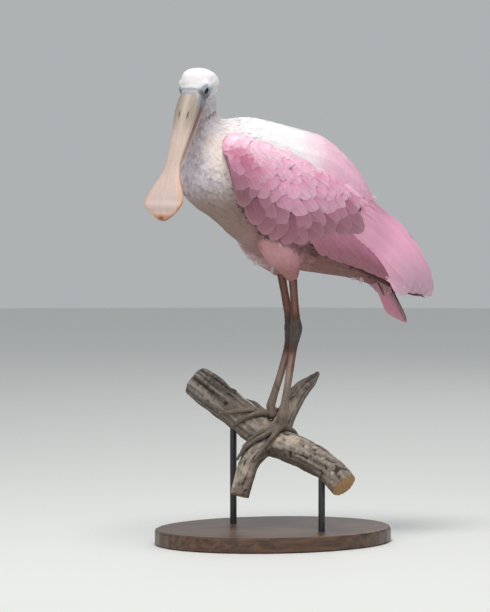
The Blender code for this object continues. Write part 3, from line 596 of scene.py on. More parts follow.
def plumage_network():
    """Feathers scattered over a hide, turned along its lie, laid down on it and made real."""
    tree = bpy.data.node_groups.new("plumage", "GeometryNodeTree")
    sizes = [(name, "Float") for name in ("Spacing", "Length", "Lift", "Width", "Ruffle")]
    wanted = [("Hide", "Geometry"), ("Feathers", "Collection")] + sizes + [("Seed", "Int"), ("Finish", "Material")]
    for name, kind in wanted:
        tree.interface.new_socket(name=name, in_out="INPUT", socket_type="NodeSocket" + kind)
    tree.interface.new_socket(name="Plumage", in_out="OUTPUT", socket_type="NodeSocketGeometry")
    given = tree.nodes.new("NodeGroupInput").outputs

    def named(name, kind):
        made = node(tree, "GeometryNodeInputNamedAttribute", {"Name": name}, data_type=kind)
        return socket(made.outputs, "Attribute")

    def maths(operation, a, b):
        return node(tree, "ShaderNodeMath", {0: a, 1: b}, operation=operation).outputs[0]

    def vectors(operation, a, b):
        return node(tree, "ShaderNodeVectorMath", {0: a, 1: b}, operation=operation).outputs[0]

    def scaled(vector, size):
        return node(tree, "ShaderNodeVectorMath", {0: vector, "Scale": size}, operation="SCALE").outputs[0]

    def chance(low, high, seed):
        made = node(tree, "FunctionNodeRandomValue", data_type="FLOAT")
        for name, value in (("Min", low), ("Max", high)):
            socket(made.inputs, name).default_value = value
        tree.links.new(maths("ADD", given["Seed"], seed), socket(made.inputs, "Seed"))
        return socket(made.outputs, "Value")

    def keep(geometry, name, kind, value, domain="POINT"):
        made = node(tree, "GeometryNodeStoreNamedAttribute", {"Geometry": geometry, "Name": name},
                    data_type=kind, domain=domain)
        tree.links.new(value, socket(made.inputs, "Value"))
        return made.outputs["Geometry"]

    dense = maths("DIVIDE", 3.0, maths("MULTIPLY", given["Spacing"], given["Spacing"]))
    set_out = node(tree, "GeometryNodeDistributePointsOnFaces",
                   {"Mesh": given["Hide"], "Distance Min": given["Spacing"], "Density Max": dense,
                    "Density Factor": named("cover", "FLOAT"), "Seed": given["Seed"]}, distribute_method="POISSON")
    points = keep(set_out.outputs["Points"], "root_uv", "FLOAT_VECTOR", named("OFBake", "FLOAT_VECTOR"))
    points = keep(points, "vary", "FLOAT", chance(0.0, 1.0, 11.0))
    points = keep(points, "lift", "FLOAT", maths("MULTIPLY", given["Lift"], chance(0.85, 1.15, 17.0)))
    long = maths("MULTIPLY", maths("MULTIPLY", named("reach", "FLOAT"), given["Length"]), chance(0.82, 1.15, 23.0))
    points = keep(points, "long", "FLOAT", long)
    turned = node(tree, "FunctionNodeAxesToRotation",
                  {0: named("out", "FLOAT_VECTOR"), 1: named("lie", "FLOAT_VECTOR")},
                  primary_axis="Z", secondary_axis="X")
    swing = node(tree, "ShaderNodeCombineXYZ", {2: maths("MULTIPLY", given["Ruffle"], chance(-1.0, 1.0, 31.0))})
    swung = node(tree, "FunctionNodeRotateRotation", {0: turned.outputs[0], 1: swing.outputs[0]},
                 rotation_space="LOCAL")
    size = node(tree, "ShaderNodeCombineXYZ", {0: long, 1: maths("MULTIPLY", long, given["Width"]), 2: long})
    forms = node(tree, "GeometryNodeCollectionInfo",
                 {"Collection": given["Feathers"], "Separate Children": True, "Reset Children": True})
    placed = node(tree, "GeometryNodeInstanceOnPoints",
                  {"Points": points, "Instance": forms.outputs[0], "Pick Instance": True,
                   "Rotation": swung.outputs[0], "Scale": size.outputs[0]})
    real = node(tree, "GeometryNodeRealizeInstances", {"Geometry": placed.outputs[0]}).outputs[0]
    spot = node(tree, "GeometryNodeInputPosition").outputs[0]
    near = node(tree, "GeometryNodeProximity", {0: given["Hide"]}, target_element="FACES")
    tree.links.new(spot, next(s for s in near.inputs if s.name in ("Sample Position", "Source Position")))
    facing = node(tree, "GeometryNodeSampleNearestSurface", {"Mesh": given["Hide"], "Sample Position": spot},
                  data_type="FLOAT_VECTOR")
    tree.links.new(named("out", "FLOAT_VECTOR"), socket(facing.inputs, "Value"))
    height = maths("ADD", maths("MULTIPLY", named("rise", "FLOAT"), named("lift", "FLOAT")),
                   maths("MULTIPLY", named("camber", "FLOAT"), named("long", "FLOAT")))
    outward = node(tree, "ShaderNodeVectorMath", {0: socket(facing.outputs, "Value")}, operation="NORMALIZE")
    raised = scaled(outward.outputs[0], maths("ADD", height, ROOT_SUNK))
    laid = node(tree, "GeometryNodeSetPosition",
                {"Geometry": real, "Position": vectors("ADD", near.outputs["Position"], raised)})
    patch = vectors("ADD", named("root_uv", "FLOAT_VECTOR"), scaled(named("vane", "FLOAT_VECTOR"), PATCH))
    baked = keep(laid.outputs[0], "OFBake", "FLOAT2", patch, "CORNER")
    finished = node(tree, "GeometryNodeSetMaterial", {"Geometry": baked, "Material": given["Finish"]})
    tree.links.new(finished.outputs[0], tree.nodes.new("NodeGroupOutput").inputs[0])
    return tree


def feather_effect():
    """The surface of a feather: shaft, slanting barbs, paler rim and greyer root, over the colour it is given."""
    tree = bpy.data.node_groups.new("feather_effect", "ShaderNodeTree")
    for name, kind, value in (("Colour", "Color", WHITE), ("Vane", "Vector", (0, 0, 0)), ("Vary", "Float", 0.5),
                              ("Rim", "Float", 0.3), ("Shaft", "Float", 0.3), ("Barbs", "Float", 60.0),
                              ("Depth", "Float", 0.2)):
        tree.interface.new_socket(name=name, in_out="INPUT", socket_type="NodeSocket" + kind).default_value = value
    for name, kind in (("Colour", "Color"), ("Height", "Float")):
        tree.interface.new_socket(name=name, in_out="OUTPUT", socket_type="NodeSocket" + kind)
    given = tree.nodes.new("NodeGroupInput").outputs

    def of(operation, *values):
        return node(tree, "ShaderNodeMath", dict(enumerate(values)), operation=operation).outputs[0]

    def ramp(value, low, high):
        return node(tree, "ShaderNodeMapRange", {"Value": value, "From Min": low, "From Max": high},
                    interpolation_type="SMOOTHSTEP").outputs[0]

    def swing(value, amount):
        """A value from 0 to 1 as a change about nothing."""
        return of("MULTIPLY", of("SUBTRACT", value, 0.5), amount)

    parts = node(tree, "ShaderNodeSeparateXYZ", {0: given["Vane"]}).outputs
    across = of("ABSOLUTE", of("MULTIPLY", of("SUBTRACT", parts[0], 0.5), 2.0))
    rim = of("MAXIMUM", ramp(across, 0.62, 1.0), ramp(parts[1], 0.80, 1.0))
    shaft = of("MULTIPLY", ramp(across, 0.07, 0.02), ramp(parts[1], 0.97, 0.7))
    where = place_in(tree)
    cloudy = node(tree, "ShaderNodeTexNoise", {"Vector": where, "Scale": 95.0, "Detail": 3.0}).outputs[0]
    fine = node(tree, "ShaderNodeTexNoise", {"Vector": where, "Scale": 1400.0, "Detail": 2.0}).outputs[0]
    slant = of("MULTIPLY", of("SUBTRACT", parts[1], of("MULTIPLY", across, 0.35)), given["Barbs"])
    barbs = of("SINE", of("ADD", of("MULTIPLY", slant, 6.283), of("MULTIPLY", fine, 3.0)))
    colour = mixed(tree, of("MULTIPLY", rim, given["Rim"]), given["Colour"], (1, 1, 1, 1))
    colour = mixed(tree, of("MULTIPLY", ramp(parts[1], 0.45, 0.0), given["Depth"]), colour, (0.30, 0.24, 0.25, 1))
    colour = mixed(tree, of("MULTIPLY", shaft, given["Shaft"]), colour, (0.95, 0.88, 0.86, 1))
    light = of("ADD", swing(given["Vary"], 0.08), swing(cloudy, 0.12))
    light = of("ADD", light, of("MULTIPLY", of("MULTIPLY", barbs, ramp(across, 0.0, 0.3)), 0.018))
    level, green = of("ADD", light, 1.0), of("ADD", of("MULTIPLY", light, 1.25), 1.0)
    grey = node(tree, "ShaderNodeCombineXYZ", {0: level, 1: green, 2: level}).outputs[0]
    colour = mixed(tree, 1.0, colour, grey, "MULTIPLY")
    out = tree.nodes.new("NodeGroupOutput")
    tree.links.new(colour, out.inputs[0])
    tree.links.new(of("ADD", of("MULTIPLY", barbs, 0.3), of("MULTIPLY", shaft, 0.8)), out.inputs[1])
    return tree


feather_surface = feather_effect()


def feather_finish(name, **effect):
    """A feather's material over the effect, with the colour and chance that the mesh carries."""
    material, tree, shader = finish_of(name, 0.78, Sheen_Weight=0.12, Sheen_Roughness=0.4, Specular_IOR_Level=0.3)
    vary = node(tree, "ShaderNodeAttribute", attribute_name="vary")
    vane = node(tree, "ShaderNodeUVMap", uv_map="vane")
    made = node(tree, "ShaderNodeGroup", node_tree=feather_surface)
    for key, value in {"Colour": painted(tree), "Vane": vane.outputs[0], "Vary": vary.outputs["Fac"]}.items():
        tree.links.new(value, made.inputs[key])
    for key, value in effect.items():
        made.inputs[key].default_value = value
    tree.links.new(made.outputs["Colour"], shader.inputs["Base Color"])
    relief(tree, shader, made.outputs["Height"], 0.0003, 0.35)
    return material


network = plumage_network()
inputs = {i.name: i.identifier for i in network.interface.items_tree if i.in_out == "INPUT"}


def grow(name, forms, cover, reach, finish, slot, **sizes):
    """Grows one region's feathers on the hide and keeps them as a plain mesh."""
    store(mesh, "cover", cover)
    store(mesh, "reach", reach * np.ones(len(P)))
    box = bpy.data.collections.new(name)
    for form in forms:
        box.objects.link(form)
    carrier = bpy.data.objects.new(name, mesh)
    bpy.context.scene.collection.objects.link(carrier)
    grower = carrier.modifiers.new("plumage", "NODES")
    grower.node_group = network
    for key, value in {**sizes, "Feathers": box, "Finish": finish}.items():
        grower[inputs[key]] = value
    made = bpy.data.meshes.new_from_object(carrier.evaluated_get(bpy.context.evaluated_depsgraph_get()))
    carrier.modifiers.clear()
    carrier.data = made
    made.name = name
    for extra in ("cover", "reach", "root_uv", "rise", "camber", "lift", "long", "out", "lie", "id"):
        if extra in made.attributes:
            made.attributes.remove(made.attributes[extra])
    made.shade_smooth()
    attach(carrier, "root")


down = [plume("down_a", 6, 0.5, 0.42), plume("down_b", 7, 0.8, 0.5), plume("down_c", 6, 0.3, 0.36)]
shaggy = [plume("shaggy_a", 8, 0.5, 0.46), plume("shaggy_b", 9, 0.9, 0.54), plume("shaggy_c", 7, 0.2, 0.38)]
contour = [plume("contour_a", 13, 0.8, 0.66, 0.18), plume("contour_b", 14, 1.0, 0.74),
           plume("contour_c", 12, 0.6, 0.62)]
down_finish = feather_finish("head_down", Rim=0.15, Shaft=0.1, Barbs=14.0, Depth=0.06)
body_finish = feather_finish("body_plumes", Rim=0.15, Shaft=0.08, Barbs=34.0, Depth=0.10)

covered, not_head = step(0.5, 0.95, wing), 1 - step(0.35, 0.65, head)
head_part = (1 - not_head) * (1 - np.clip(bare * 1.6, 0, 1)) * step(3.6, 2.8, H[:, 0])
neck_part = not_head * step(-40, -62, x) * step(300, 318, z)
trunk = (1 - covered) * (1 - neck_part) * not_head
back_part = trunk * step(0.0, 0.35, N[:, 2]) * (z > 250)
low_part = trunk * (1 - back_part) * (1 - step(0.3, 0.7, thigh))
grow("head_feathers", down, head_part, 0.7 + 0.6 * step(-4, -30, H[:, 0]), down_finish, "white_down",
     Spacing=0.82 * MM, Length=4.6 * MM, Lift=0.7 * MM, Width=0.85, Ruffle=0.34, Seed=3)
grow("neck_feathers", shaggy, neck_part, 0.75 + 0.5 * step(385, 330, z), body_finish, "grey_white_plumage",
     Spacing=1.45 * MM, Length=10 * MM, Lift=1.5 * MM, Width=0.72, Ruffle=0.5, Seed=5)
grow("back_feathers", contour, back_part, 0.75 + 0.45 * step(-60, -10, x), body_finish, "pale_plumage",
     Spacing=2.8 * MM, Length=24 * MM, Lift=1.0 * MM, Width=0.76, Ruffle=0.24, Seed=7)
grow("breast_feathers", contour, low_part, 0.7 + 0.4 * step(-90, -20, x), body_finish, "pale_plumage",
     Spacing=2.7 * MM, Length=18 * MM, Lift=1.5 * MM, Width=0.72, Ruffle=0.42, Seed=9)
grow("thigh_feathers", shaggy, step(0.3, 0.7, thigh), 1.15 - 0.5 * step(205, 180, z), body_finish, "pale_plumage",
     Spacing=1.8 * MM, Length=12 * MM, Lift=1.5 * MM, Width=0.75, Ruffle=0.34, Seed=13)

# Wing feathers
# The folded wings, built feather by feather in their rows: flight feathers, then greater, median and
# lesser coverts, each row over the roots of the row before it, and the long inner feathers over all.

SHAFT_RISE = 0.22  # how far a shaft stands out of its vane, in millimetres
# columns across a vane as shares of its half width, close together at the shaft
BARB_COLUMNS = (-1.0, -0.72, -0.4, -0.05, 0.0, 0.05, 0.4, 0.72, 1.0)
FLIGHTS = (  # name, roots, tips, count, width, lift, tilt, form, colour at the root and at the tip
    ("primary", ((0.40, 0.84), (0.50, 0.72)), ((0.90, 1.10), (0.985, 0.95)), 5, 11, -1.2, 0.05, "point",
     (84, 54, 52), (112, 72, 70)),
    # the secondaries darken towards their tips, low on the wing: partly their own colour, partly painted shade
    ("secondary", ((0.34, 0.58), (0.57, 0.44)), ((0.49, 1.02), (0.87, 1.00)), 20, 15, 0.5, 0.07, "flight",
     (216, 132, 164), (146, 84, 100)),
    ("tertial", ((0.47, 0.48), (0.56, 0.06)), ((0.86, 0.96), (1.005, 0.28)), 4, 34, 1.9, 0.05, "flight",
     (240, 172, 200), (206, 164, 184)))
COVERT_TIPS = (  # from the upper rows to the lowest: share, then where a row's tips run, and its steepest way
    (0.0, (0.085, 0.10), (0.19, 0.09), (0.33, 0.02)), (0.40, (0.085, 0.36), (0.27, 0.36), (0.46, 0.12)),
    (0.68, (0.10, 0.66), (0.33, 0.68), (0.52, 0.28)), (1.0, (0.12, 0.97), (0.37, 1.02), (0.56, 0.46)))
COVERTS = (  # share, count, length, width, lift, colour at the root and at the tip
    (1.0, 11, 52, 27, 1.3, (214, 140, 170), (230, 172, 198)),
    (0.82, 12, 38, 23, 1.6, (216, 140, 172), (233, 176, 202)),
    (0.65, 14, 31, 19, 1.8, (220, 148, 182), (238, 188, 212)),
    (0.51, 16, 26, 16.5, 2.0, (222, 152, 184), (240, 192, 214)),
    (0.40, 17, 22, 14.5, 2.2, (224, 148, 180), (240, 188, 210)),
    (0.30, 19, 19, 13, 2.4, (228, 156, 186), (242, 194, 214)),
    (0.21, 20, 17, 12, 2.6, (232, 166, 194), (244, 202, 220)),
    (0.13, 20, 15, 11, 2.8, (236, 176, 202), (245, 210, 225)),
    (0.06, 20, 13, 10, 3.0, (240, 186, 208), (246, 216, 230)),
    (-0.01, 20, 12, 9.5, 3.1, (243, 196, 215), (248, 224, 235)))
loop_uv = np.empty(len(mesh.loops) * 2, np.float32)
mesh.uv_layers["OFBake"].data.foreach_get("uv", loop_uv)
loop_uv = loop_uv.reshape(-1, 2)


def patch_at(point):
    """Where on the hide's own unwrap a feather's root lies."""
    face = skin_tree.find_nearest(point)[2]
    return loop_uv[mesh.polygons[face].loop_start]


def breadth(form, t):
    """How wide a vane is along its length, as a share of its full width."""
    if form == "point":
        return max(0.05, min(0.35 + 3 * t, 1.0) * (1 - max(0.0, (t - 0.62) / 0.38) ** 2.6))
    turn, full = (0.60, 2.1) if form == "covert" else (0.80, 2.2)
    tip = math.sqrt(max(0.0, 1 - max(0.0, (t - turn) / (1 - turn)) ** full))
    return max(0.05, min(0.42 + 1.7 * t, 1.0) * tip)


class Plumes:
    """Feathers gathered in one mesh, each a thin closed vane with its own patch and chance."""

    def __init__(self, seed):
        self.points, self.faces, self.vane, self.patch, self.marks, self.vary = [], [], [], [], [], []
        self.rims = []
        self.draw = np.random.default_rng(seed)

    def add(self, spot, stations, colours, thick=0.24, columns=BARB_COLUMNS):
        """spot(t, c) gives a place in mm and the outward normal; c runs over the columns."""
        start, wide = len(self.points), len(columns)
        chance = self.draw.random()
        grid = [[spot(t, c) for c in columns] for t in stations]
        root = patch_at(place(*grid[0][wide // 2][0]))
        index = {}
        for layer in (0, 1):
            for i, row in enumerate(grid):
                for j, (at, out) in enumerate(row):
                    rim = i in (0, len(grid) - 1) or j in (0, wide - 1)
                    if layer and rim:
                        index[layer, i, j] = index[0, i, j]
                        continue
                    index[layer, i, j] = len(self.points)
                    if rim:
                        self.rims.append(len(self.points))
                    shaft = SHAFT_RISE if columns[j] == 0 and not layer else 0.0
                    self.points.append(place(*(at + out * (shaft - layer * thick))))
                    uv = ((columns[j] + 1) / 2, stations[i])
                    self.vane.append(uv)
                    self.patch.append((root[0] + uv[0] * PATCH, root[1] + uv[1] * PATCH))
                    self.marks.append(colours(stations[i], columns[j]))
                    self.vary.append(chance)
        flip = None
        for i in range(len(grid) - 1):
            for j in range(wide - 1):
                top = [index[0, i, j], index[0, i + 1, j], index[0, i + 1, j + 1], index[0, i, j + 1]]
                if flip is None:
                    a, b, c = (Vector(self.points[k]) for k in (top[0], top[1], top[3]))
                    flip = (b - a).cross(c - a).dot(grid[0][0][1]) < 0
                low = [index[1, i, j], index[1, i, j + 1], index[1, i + 1, j + 1], index[1, i + 1, j]]
                self.faces.append(top[::-1] if flip else top)
                self.faces.append(low[::-1] if flip else low)

    def finish(self, name, material, slot, *replaced):
        made = piece_of(name, self.points, self.faces, material)
        for layer, values in (("vane", self.vane), ("OFBake", self.patch)):
            uv = made.data.uv_layers.new(name=layer)
            order = numbers(made.data, "loops", "vertex_index", 1, np.int32).ravel()
            uv.data.foreach_set("uv", np.array(values, np.float32)[order].ravel())
        rims = np.zeros(len(self.points), bool)
        rims[self.rims] = True
        ends_of = numbers(made.data, "edges", "vertices", 2, np.int32)
        crisp = rims[ends_of[:, 0]] & rims[ends_of[:, 1]]
        made.data.attributes.new("sharp_edge", "BOOLEAN", "EDGE").data.foreach_set("value", crisp)
        store(made.data, "marks", [(*m[:3], 1.0) for m in self.marks], "FLOAT_COLOR")
        store(made.data, "vary", self.vary)
        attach(made, "root")
        if replaced:
            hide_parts(*replaced)


def between(a, b, t):
    """A colour some way from one to another."""
    return tuple(p + (q - p) * t for p, q in zip(a, b))


def slope(reach, value):
    """1 at nothing, falling to 0 at the reach, for what curls down towards an edge."""
    return max(0.0, reach - value) / reach


def wing_feather(plumes, sheet, root, tip, width, lift, tilt, form, first, last):
    """One feather along a wing, from root to tip in shares of the wing, and set a little askew."""
    draw = plumes.draw
    loose = 1.7 if form == "covert" else 0.7
    root = (root[0] + loose * draw.normal(0, 0.004), root[1] + loose * draw.normal(0, 0.008))
    tip = (tip[0] + loose * draw.normal(0, 0.006), tip[1] + loose * draw.normal(0, 0.012))
    width *= draw.uniform(0.88, 1.12)
    lift += draw.uniform(-0.12, 0.12)
    (near, near_out), (far, far_out) = [(sheet.point(*end), sheet.frame(*end)[2])
                                        for end in (root, (min(tip[0], 0.96), min(tip[1], 1.0)))]
    straight = (far - near).normalized()
    bend = draw.normal(0, 0.01)
    nicks = [(draw.uniform(0.3, 0.95), draw.choice((-1, 1)), draw.uniform(0.05, 0.2)) for _ in range(3)]
    long = (sheet.point(*tip) - sheet.point(*root)).length
    count = int(min(24, max(12, long / 4)))
    stations = [1 - (1 - k / (count - 1)) ** 1.25 for k in range(count)]
    frames = {}

    def spot(t, c):
        if t not in frames:
            along = root[0] + (tip[0] - root[0]) * t + bend * math.sin(math.pi * t)
            down = root[1] + (tip[1] - root[1]) * t
            a, d, normal = sheet.frame(along, down)
            way = (a * (tip[0] - root[0]) + d * (tip[1] - root[1])).normalized()
            frames[t] = along, down, (a, d, normal), normal.cross(way).normalized()
        along, down, axes, beside = frames[t]
        share = breadth(form, t) * width / 2
        if form == "point":
            normal = near_out.lerp(far_out, t).normalized()
            middle = near.lerp(sheet.point(*tip) if tip[0] <= 1 else far, t)
            return middle + normal.cross(straight).normalized() * c * share + normal * (lift - 0.4 * (1 - t)), normal
        for at, side, deep in nicks:
            if side * c > 0:
                share *= 1 - deep * max(0.0, 1 - abs(t - at) * 22) * abs(c)
        height = lift * min(1.0, 0.35 + t) - min(2.2, long * 0.05) * (1 - t) ** 2
        height += tilt * c * share * sheet.side - 0.05 * share * c * c
        height -= (form == "covert") * 0.8 * max(0.0, (t - 0.5) / 0.5) ** 2
        height -= min(9.0, 6.0 * slope(0.14, down) ** 2) + min(6.0, 5.0 * slope(0.13, along) ** 2)
        return sheet.point(*sheet.shifted(along, down, beside * c * share, axes)) + axes[2] * height, axes[2]

    def colours(t, c):
        return between(tone(*first), tone(*last), step(0.35, 1.0, t))

    plumes.add(spot, stations, colours)


wing_finish = feather_finish("wing_plumes", Rim=0.05, Shaft=0.05, Barbs=40.0, Depth=0.08)
for word, sheet in sheets.items():
    plumes = Plumes(21 if word == "left" else 22)
    for name, roots, tips, count, width, lift, tilt, form, first, last in FLIGHTS:
        for k, (root, tip) in enumerate(zip(smooth_rows(roots, count), smooth_rows(tips, count))):
            # painted shade: the foremost secondaries are darkened, for the shade they lie in
            shade = (1 - k / (count - 1)) ** 1.2 * 0.7 if name == "secondary" else 0.0
            wing_feather(plumes, sheet, tuple(root), tuple(tip), width, lift, tilt, form,
                         between(first, (170, 118, 134), shade), between(last, (158, 106, 118), shade))
    for share_down, count, long, width, lift, first, last in COVERTS:
        stops = [row[0] for row in COVERT_TIPS]
        line = [[np.interp(share_down, stops, [row[i][j] for row in COVERT_TIPS]) + min(share_down, 0) * (j == 1)
                 for j in (0, 1)] for i in (1, 2, 3)]  # a row that starts above the upper edge goes on upwards
        for k, tip in enumerate(smooth_rows(line, count)):
            part = k / (count - 1)
            way = np.array((0.05 + 0.10 * part, -0.20 + 0.62 * (1 - 0.35 * part)))
            reach = (sheet.point(*tip) - sheet.point(*(tip - way * 0.5))).length * 2
            root = np.maximum(tip - way * long / reach, (0.055, -0.07))
            tuck = 0.35 + 0.65 * step(0.05, 0.24, tip[0])
            deep = 0.8 * math.exp(-((part - 0.16) / 0.18) ** 2 - ((share_down - 0.45) / 0.24) ** 2)
            # painted shade: the lower covert rows are darkened, most towards the front, for the shade low on the wing
            lower_row_shade = (0.92 - 0.28 * part) * step(0.5, 1.0, share_down)
            low = between(between(first, (160, 76, 102), deep), (122, 76, 88), lower_row_shade)
            high = between(between(last, (190, 110, 136), deep), (146, 98, 108), lower_row_shade)
            wing_feather(plumes, sheet, tuple(root), tuple(tip), width, 0.9 + (lift - 0.9) * tuck, 0.06, "covert",
                         low, high)
    plumes.finish("wing_feathers_" + word, wing_finish, "pink_plumage", "wing_" + word)

# Shoulders and mantle edge
# The feathers that close the wing to the body: small ones over its bend, and the long loose
# shoulder feathers that fall over its upper edge and make it one with the back.

upper_edge = (kind == ON_WING) & (share[:, 1] < 0.07) & (share[:, 0] < 0.50) & (share[:, 0] > 0.05)
fringe = np.clip(spread(upper_edge, 5) * 3.2, 0, 1)
bend = np.clip(spread((kind == ON_WING) & (share[:, 0] < 0.11), 5) * 2.0, 0, 1)
grow("shoulder_feathers", contour, fringe, 0.8 + 0.3 * step(-60, 0, x), body_finish, "pale_plumage",
     Spacing=3.6 * MM, Length=25 * MM, Lift=6.0 * MM, Width=0.65, Ruffle=0.26, Seed=17)
grow("bend_feathers", shaggy, bend, 0.9, body_finish, "pink_plumage",
     Spacing=1.9 * MM, Length=12 * MM, Lift=3.9 * MM, Width=0.8, Ruffle=0.34, Seed=19)

# Tail
# Twelve feathers closed over each other and pointing down behind the wings, with short coverts
# over and under their roots.

TAIL_WAY = Vector((0.52, 0, -0.855)).normalized()
TAIL_LENGTH, TAIL_WIDE = 74, 21
TAIL_COVERTS = ((34, 1), (26, 1), (34, -1), (24, -1))  # length, and over (1) or under (-1) the tail
RUMP_COVERTS = ((214, 58), (240, 66))  # height and length of the long ones between the wings
tail_up = TAIL_WAY.cross(Vector((0, 1, 0))).normalized()
tail_up = tail_up if tail_up.x > 0 else -tail_up
tail_root = Vector((136, 0, 179))
tail = Plumes(31)


def tail_feather(start, way, length, wide, lean, form, first, last):
    """One straight feather of the tail, leaning to close over its neighbour."""
    beside = way.cross(tail_up).normalized()
    beside = beside if beside.y > 0 else -beside
    aside = beside + tail_up * lean

    def spot(t, c):
        share = breadth(form, t) * wide / 2
        return start + way * t * length - tail_up * (3.0 * t * t + 0.06 * share * c * c) + aside * c * share, tail_up

    tail.add(spot, [k / 17 for k in range(18)], lambda t, c: between(tone(*first), tone(*last), t), 0.5)


for k in range(12):
    side = k - 5.5
    outward = abs(side) / 6
    way = (TAIL_WAY + Vector((0, side * 0.035, 0))).normalized()
    start = tail_root + TAIL_WAY * 4 + Vector((0, side * 1.7, 0)) + tail_up * (2.4 - outward * 5)
    tail_feather(start, way, (TAIL_LENGTH - 12 * outward) * 0.93, TAIL_WIDE * 0.95, 0.16 if side < 0 else -0.16,
                 "flight", (146, 98, 102) if side < 0 else (208, 132, 154),
                 (140, 104, 108) if side < -1 else (218, 146, 168))
for row, (reach, high) in enumerate(TAIL_COVERTS):
    for k in range(9):
        side = k - 4
        way = (TAIL_WAY + Vector((0, side * 0.06, 0)) + tail_up * -0.05 * high).normalized()
        start = tail_root + Vector((0, side * 3.0, 0)) - TAIL_WAY * (6 + 7 * (row % 2))
        start += tail_up * high * (9 - abs(side) * 1.3)
        tail_feather(start, way, reach + tail.draw.uniform(-3, 3), 16, 0.1 * (-1 if side < 0 else 1), "covert",
                     (240, 178, 200) if high > 0 else (170, 120, 126),
                     (246, 204, 220) if high > 0 else (188, 140, 148))
for row, (from_z, reach) in enumerate(RUMP_COVERTS):
    for k in range(7):
        side = k - 3
        start = Vector((141 - 3 * row - abs(side) * 0.8, side * 3.6, from_z - abs(side) * 2)) + tail_up * (0.6 + row)
        way = Vector((0.22 + 0.04 * row, side * 0.03, -0.97)).normalized()
        tail_feather(start, way, reach + tail.draw.uniform(-4, 4), 15, 0.1 * (-1 if side < 0 else 1), "covert",
                     (236, 168, 192), (242, 186, 206))
tail.finish("tail_feathers", wing_finish, "rose_tail", "tail")

# Loose down
# Wisps of white down that stand out of the plumage at the rump, below the tail and wing tip and
# before the thighs, each a bunch of soft threads from one root.

WISPS = (  # root, way out, length
    ((120, -13, 271), (0.9, -0.1, -0.3), 12), ((121, -13, 265), (0.85, -0.1, -0.6), 13),
    ((109, -8, 174), (0.15, -0.3, -1), 8), ((101, -8, 176), (0.1, -0.3, -1), 7),
    ((157, -24, 164), (0.4, -0.1, -0.9), 9),
    ((-13, 20, 195), (-0.5, 0, -1), 9), ((-22, 20, 205), (-0.6, 0, -1), 9), ((5, 14, 187), (-0.2, 0, -1), 7))
WISP_THREADS, THREAD_HALF, THREAD_DROP = 26, 0.30, 2.6
TO_CAMERA = Vector((0, -1, 0))
wisps = Plumes(43)
for root, way, long in WISPS:
    for k in range(WISP_THREADS):
        strand = (Vector(way).normalized() + Vector(wisps.draw.normal(0, 0.26, 3))).normalized()
        strand *= long * wisps.draw.uniform(0.35, 0.85)
        beside = strand.cross(TO_CAMERA).normalized() * THREAD_HALF
        start = Vector(root) + Vector(wisps.draw.normal(0, 1.5, 3))

        def thread(t, c):
            drop = Vector((0, 0, THREAD_DROP)) * t * t
            return start + strand * t - drop + beside * c * (1.1 - t), TO_CAMERA

        wisps.add(thread, (0.0, 0.3, 0.6, 0.85, 1.0), lambda t, c: tone(240, 234, 236), 0.12, (-1.0, 0.0, 1.0))
wisps.finish("loose_down", down_finish, "white_down")

# Bill
# Two horn mandibles that widen into the spoon, the upper one with slit nostrils, a low ridge
# between two grooves, a raised rim and a small nail. The lower one shows as a strip beside it.

BILL = (  # along, culmen, mouth line, keel, half width
    (-4, -1.5, -10, -23, 13.5), (4, -0.4, -9.8, -23, 15.6), (14, -0.2, -9.6, -22, 16.6), (27, -0.6, -9.4, -20, 16.2),
    (53, -2.4, -9.8, -17.4, 12.9), (79, -3.6, -9.4, -14.8, 10.4), (92, -4.2, -9.4, -13.6, 10.6),
    (105, -4.8, -9.4, -12.8, 13.8), (117, -5.4, -9.2, -12.4, 19.6), (128, -6.2, -9.4, -12.4, 24.8),
    (135, -7, -10, -12.8, 26.4), (142, -7.1, -10, -12.6, 24.5), (149, -9.6, -12.4, -14.8, 18),
    (154, -12.2, -14.8, -16.9, 10), (156.5, -14.2, -16.2, -17.9, 4.5))
NOSTRIL_AT, NOSTRIL_ASIDE = 29, 5.9
RINGS_ALONG, ARCH, FLAT = 170, 61, 7  # rings along the bill, points over a ring and across its mouth side
horn, tree, shader = finish_of("bill_horn", 0.42, Specular_IOR_Level=0.45, Subsurface_Weight=0.06)
shader.inputs["Subsurface Radius"].default_value = (0.004, 0.002, 0.0015)
shader.inputs["Subsurface Scale"].default_value = 1.0
grain_way = node(tree, "ShaderNodeUVMap", uv_map="vane").outputs[0]
course = node(tree, "ShaderNodeMapping", {"Vector": grain_way, "Scale": (14, 3.0, 1)})
streak = node(tree, "ShaderNodeTexNoise",
              {"Vector": course.outputs[0], "Scale": 3.0, "Detail": 6.0, "Roughness": 0.6})
pore = node(tree, "ShaderNodeTexNoise", {"Vector": place_in(tree), "Scale": 420.0, "Detail": 3.0})
tree.links.new(mixed(tree, 0.42, painted(tree), streak.outputs["Fac"], "SOFT_LIGHT"), shader.inputs["Base Color"])
both = node(tree, "ShaderNodeMath", {0: streak.outputs["Fac"], 1: pore.outputs["Fac"]}, operation="ADD")
relief(tree, shader, both.outputs[0], 0.0005, 0.5)


def horn_relief(along, left, half):
    """How deep the upper mandible is cut at a place, and how dark its nostrils are painted there, a painted shade in
    the slits.
    """
    spoon, deep, dark = step(85, 115, along), 0.0, 0.0
    for side in (-1, 1):
        lean = side * (NOSTRIL_ASIDE - 0.11 * (along - NOSTRIL_AT))
        hole = math.exp(-((along - NOSTRIL_AT) / 4.8) ** 6 - ((left - lean) / 0.5) ** 2)
        dark = max(dark, hole)
        groove = side * (0.40 + 0.36 * spoon) * half
        deep += 1.5 * hole
        deep += 0.30 * math.exp(-((left - groove) / 0.7) ** 2) * step(24, 32, along) * step(153, 140, along)
    deep -= 0.42 * math.exp(-(left / 1.3) ** 2) * step(30, 60, along) * step(156, 140, along)
    deep -= 0.45 * step(0.84, 0.97, abs(left / half)) * spoon + 0.7 * step(148, 153, along)
    return deep, dark


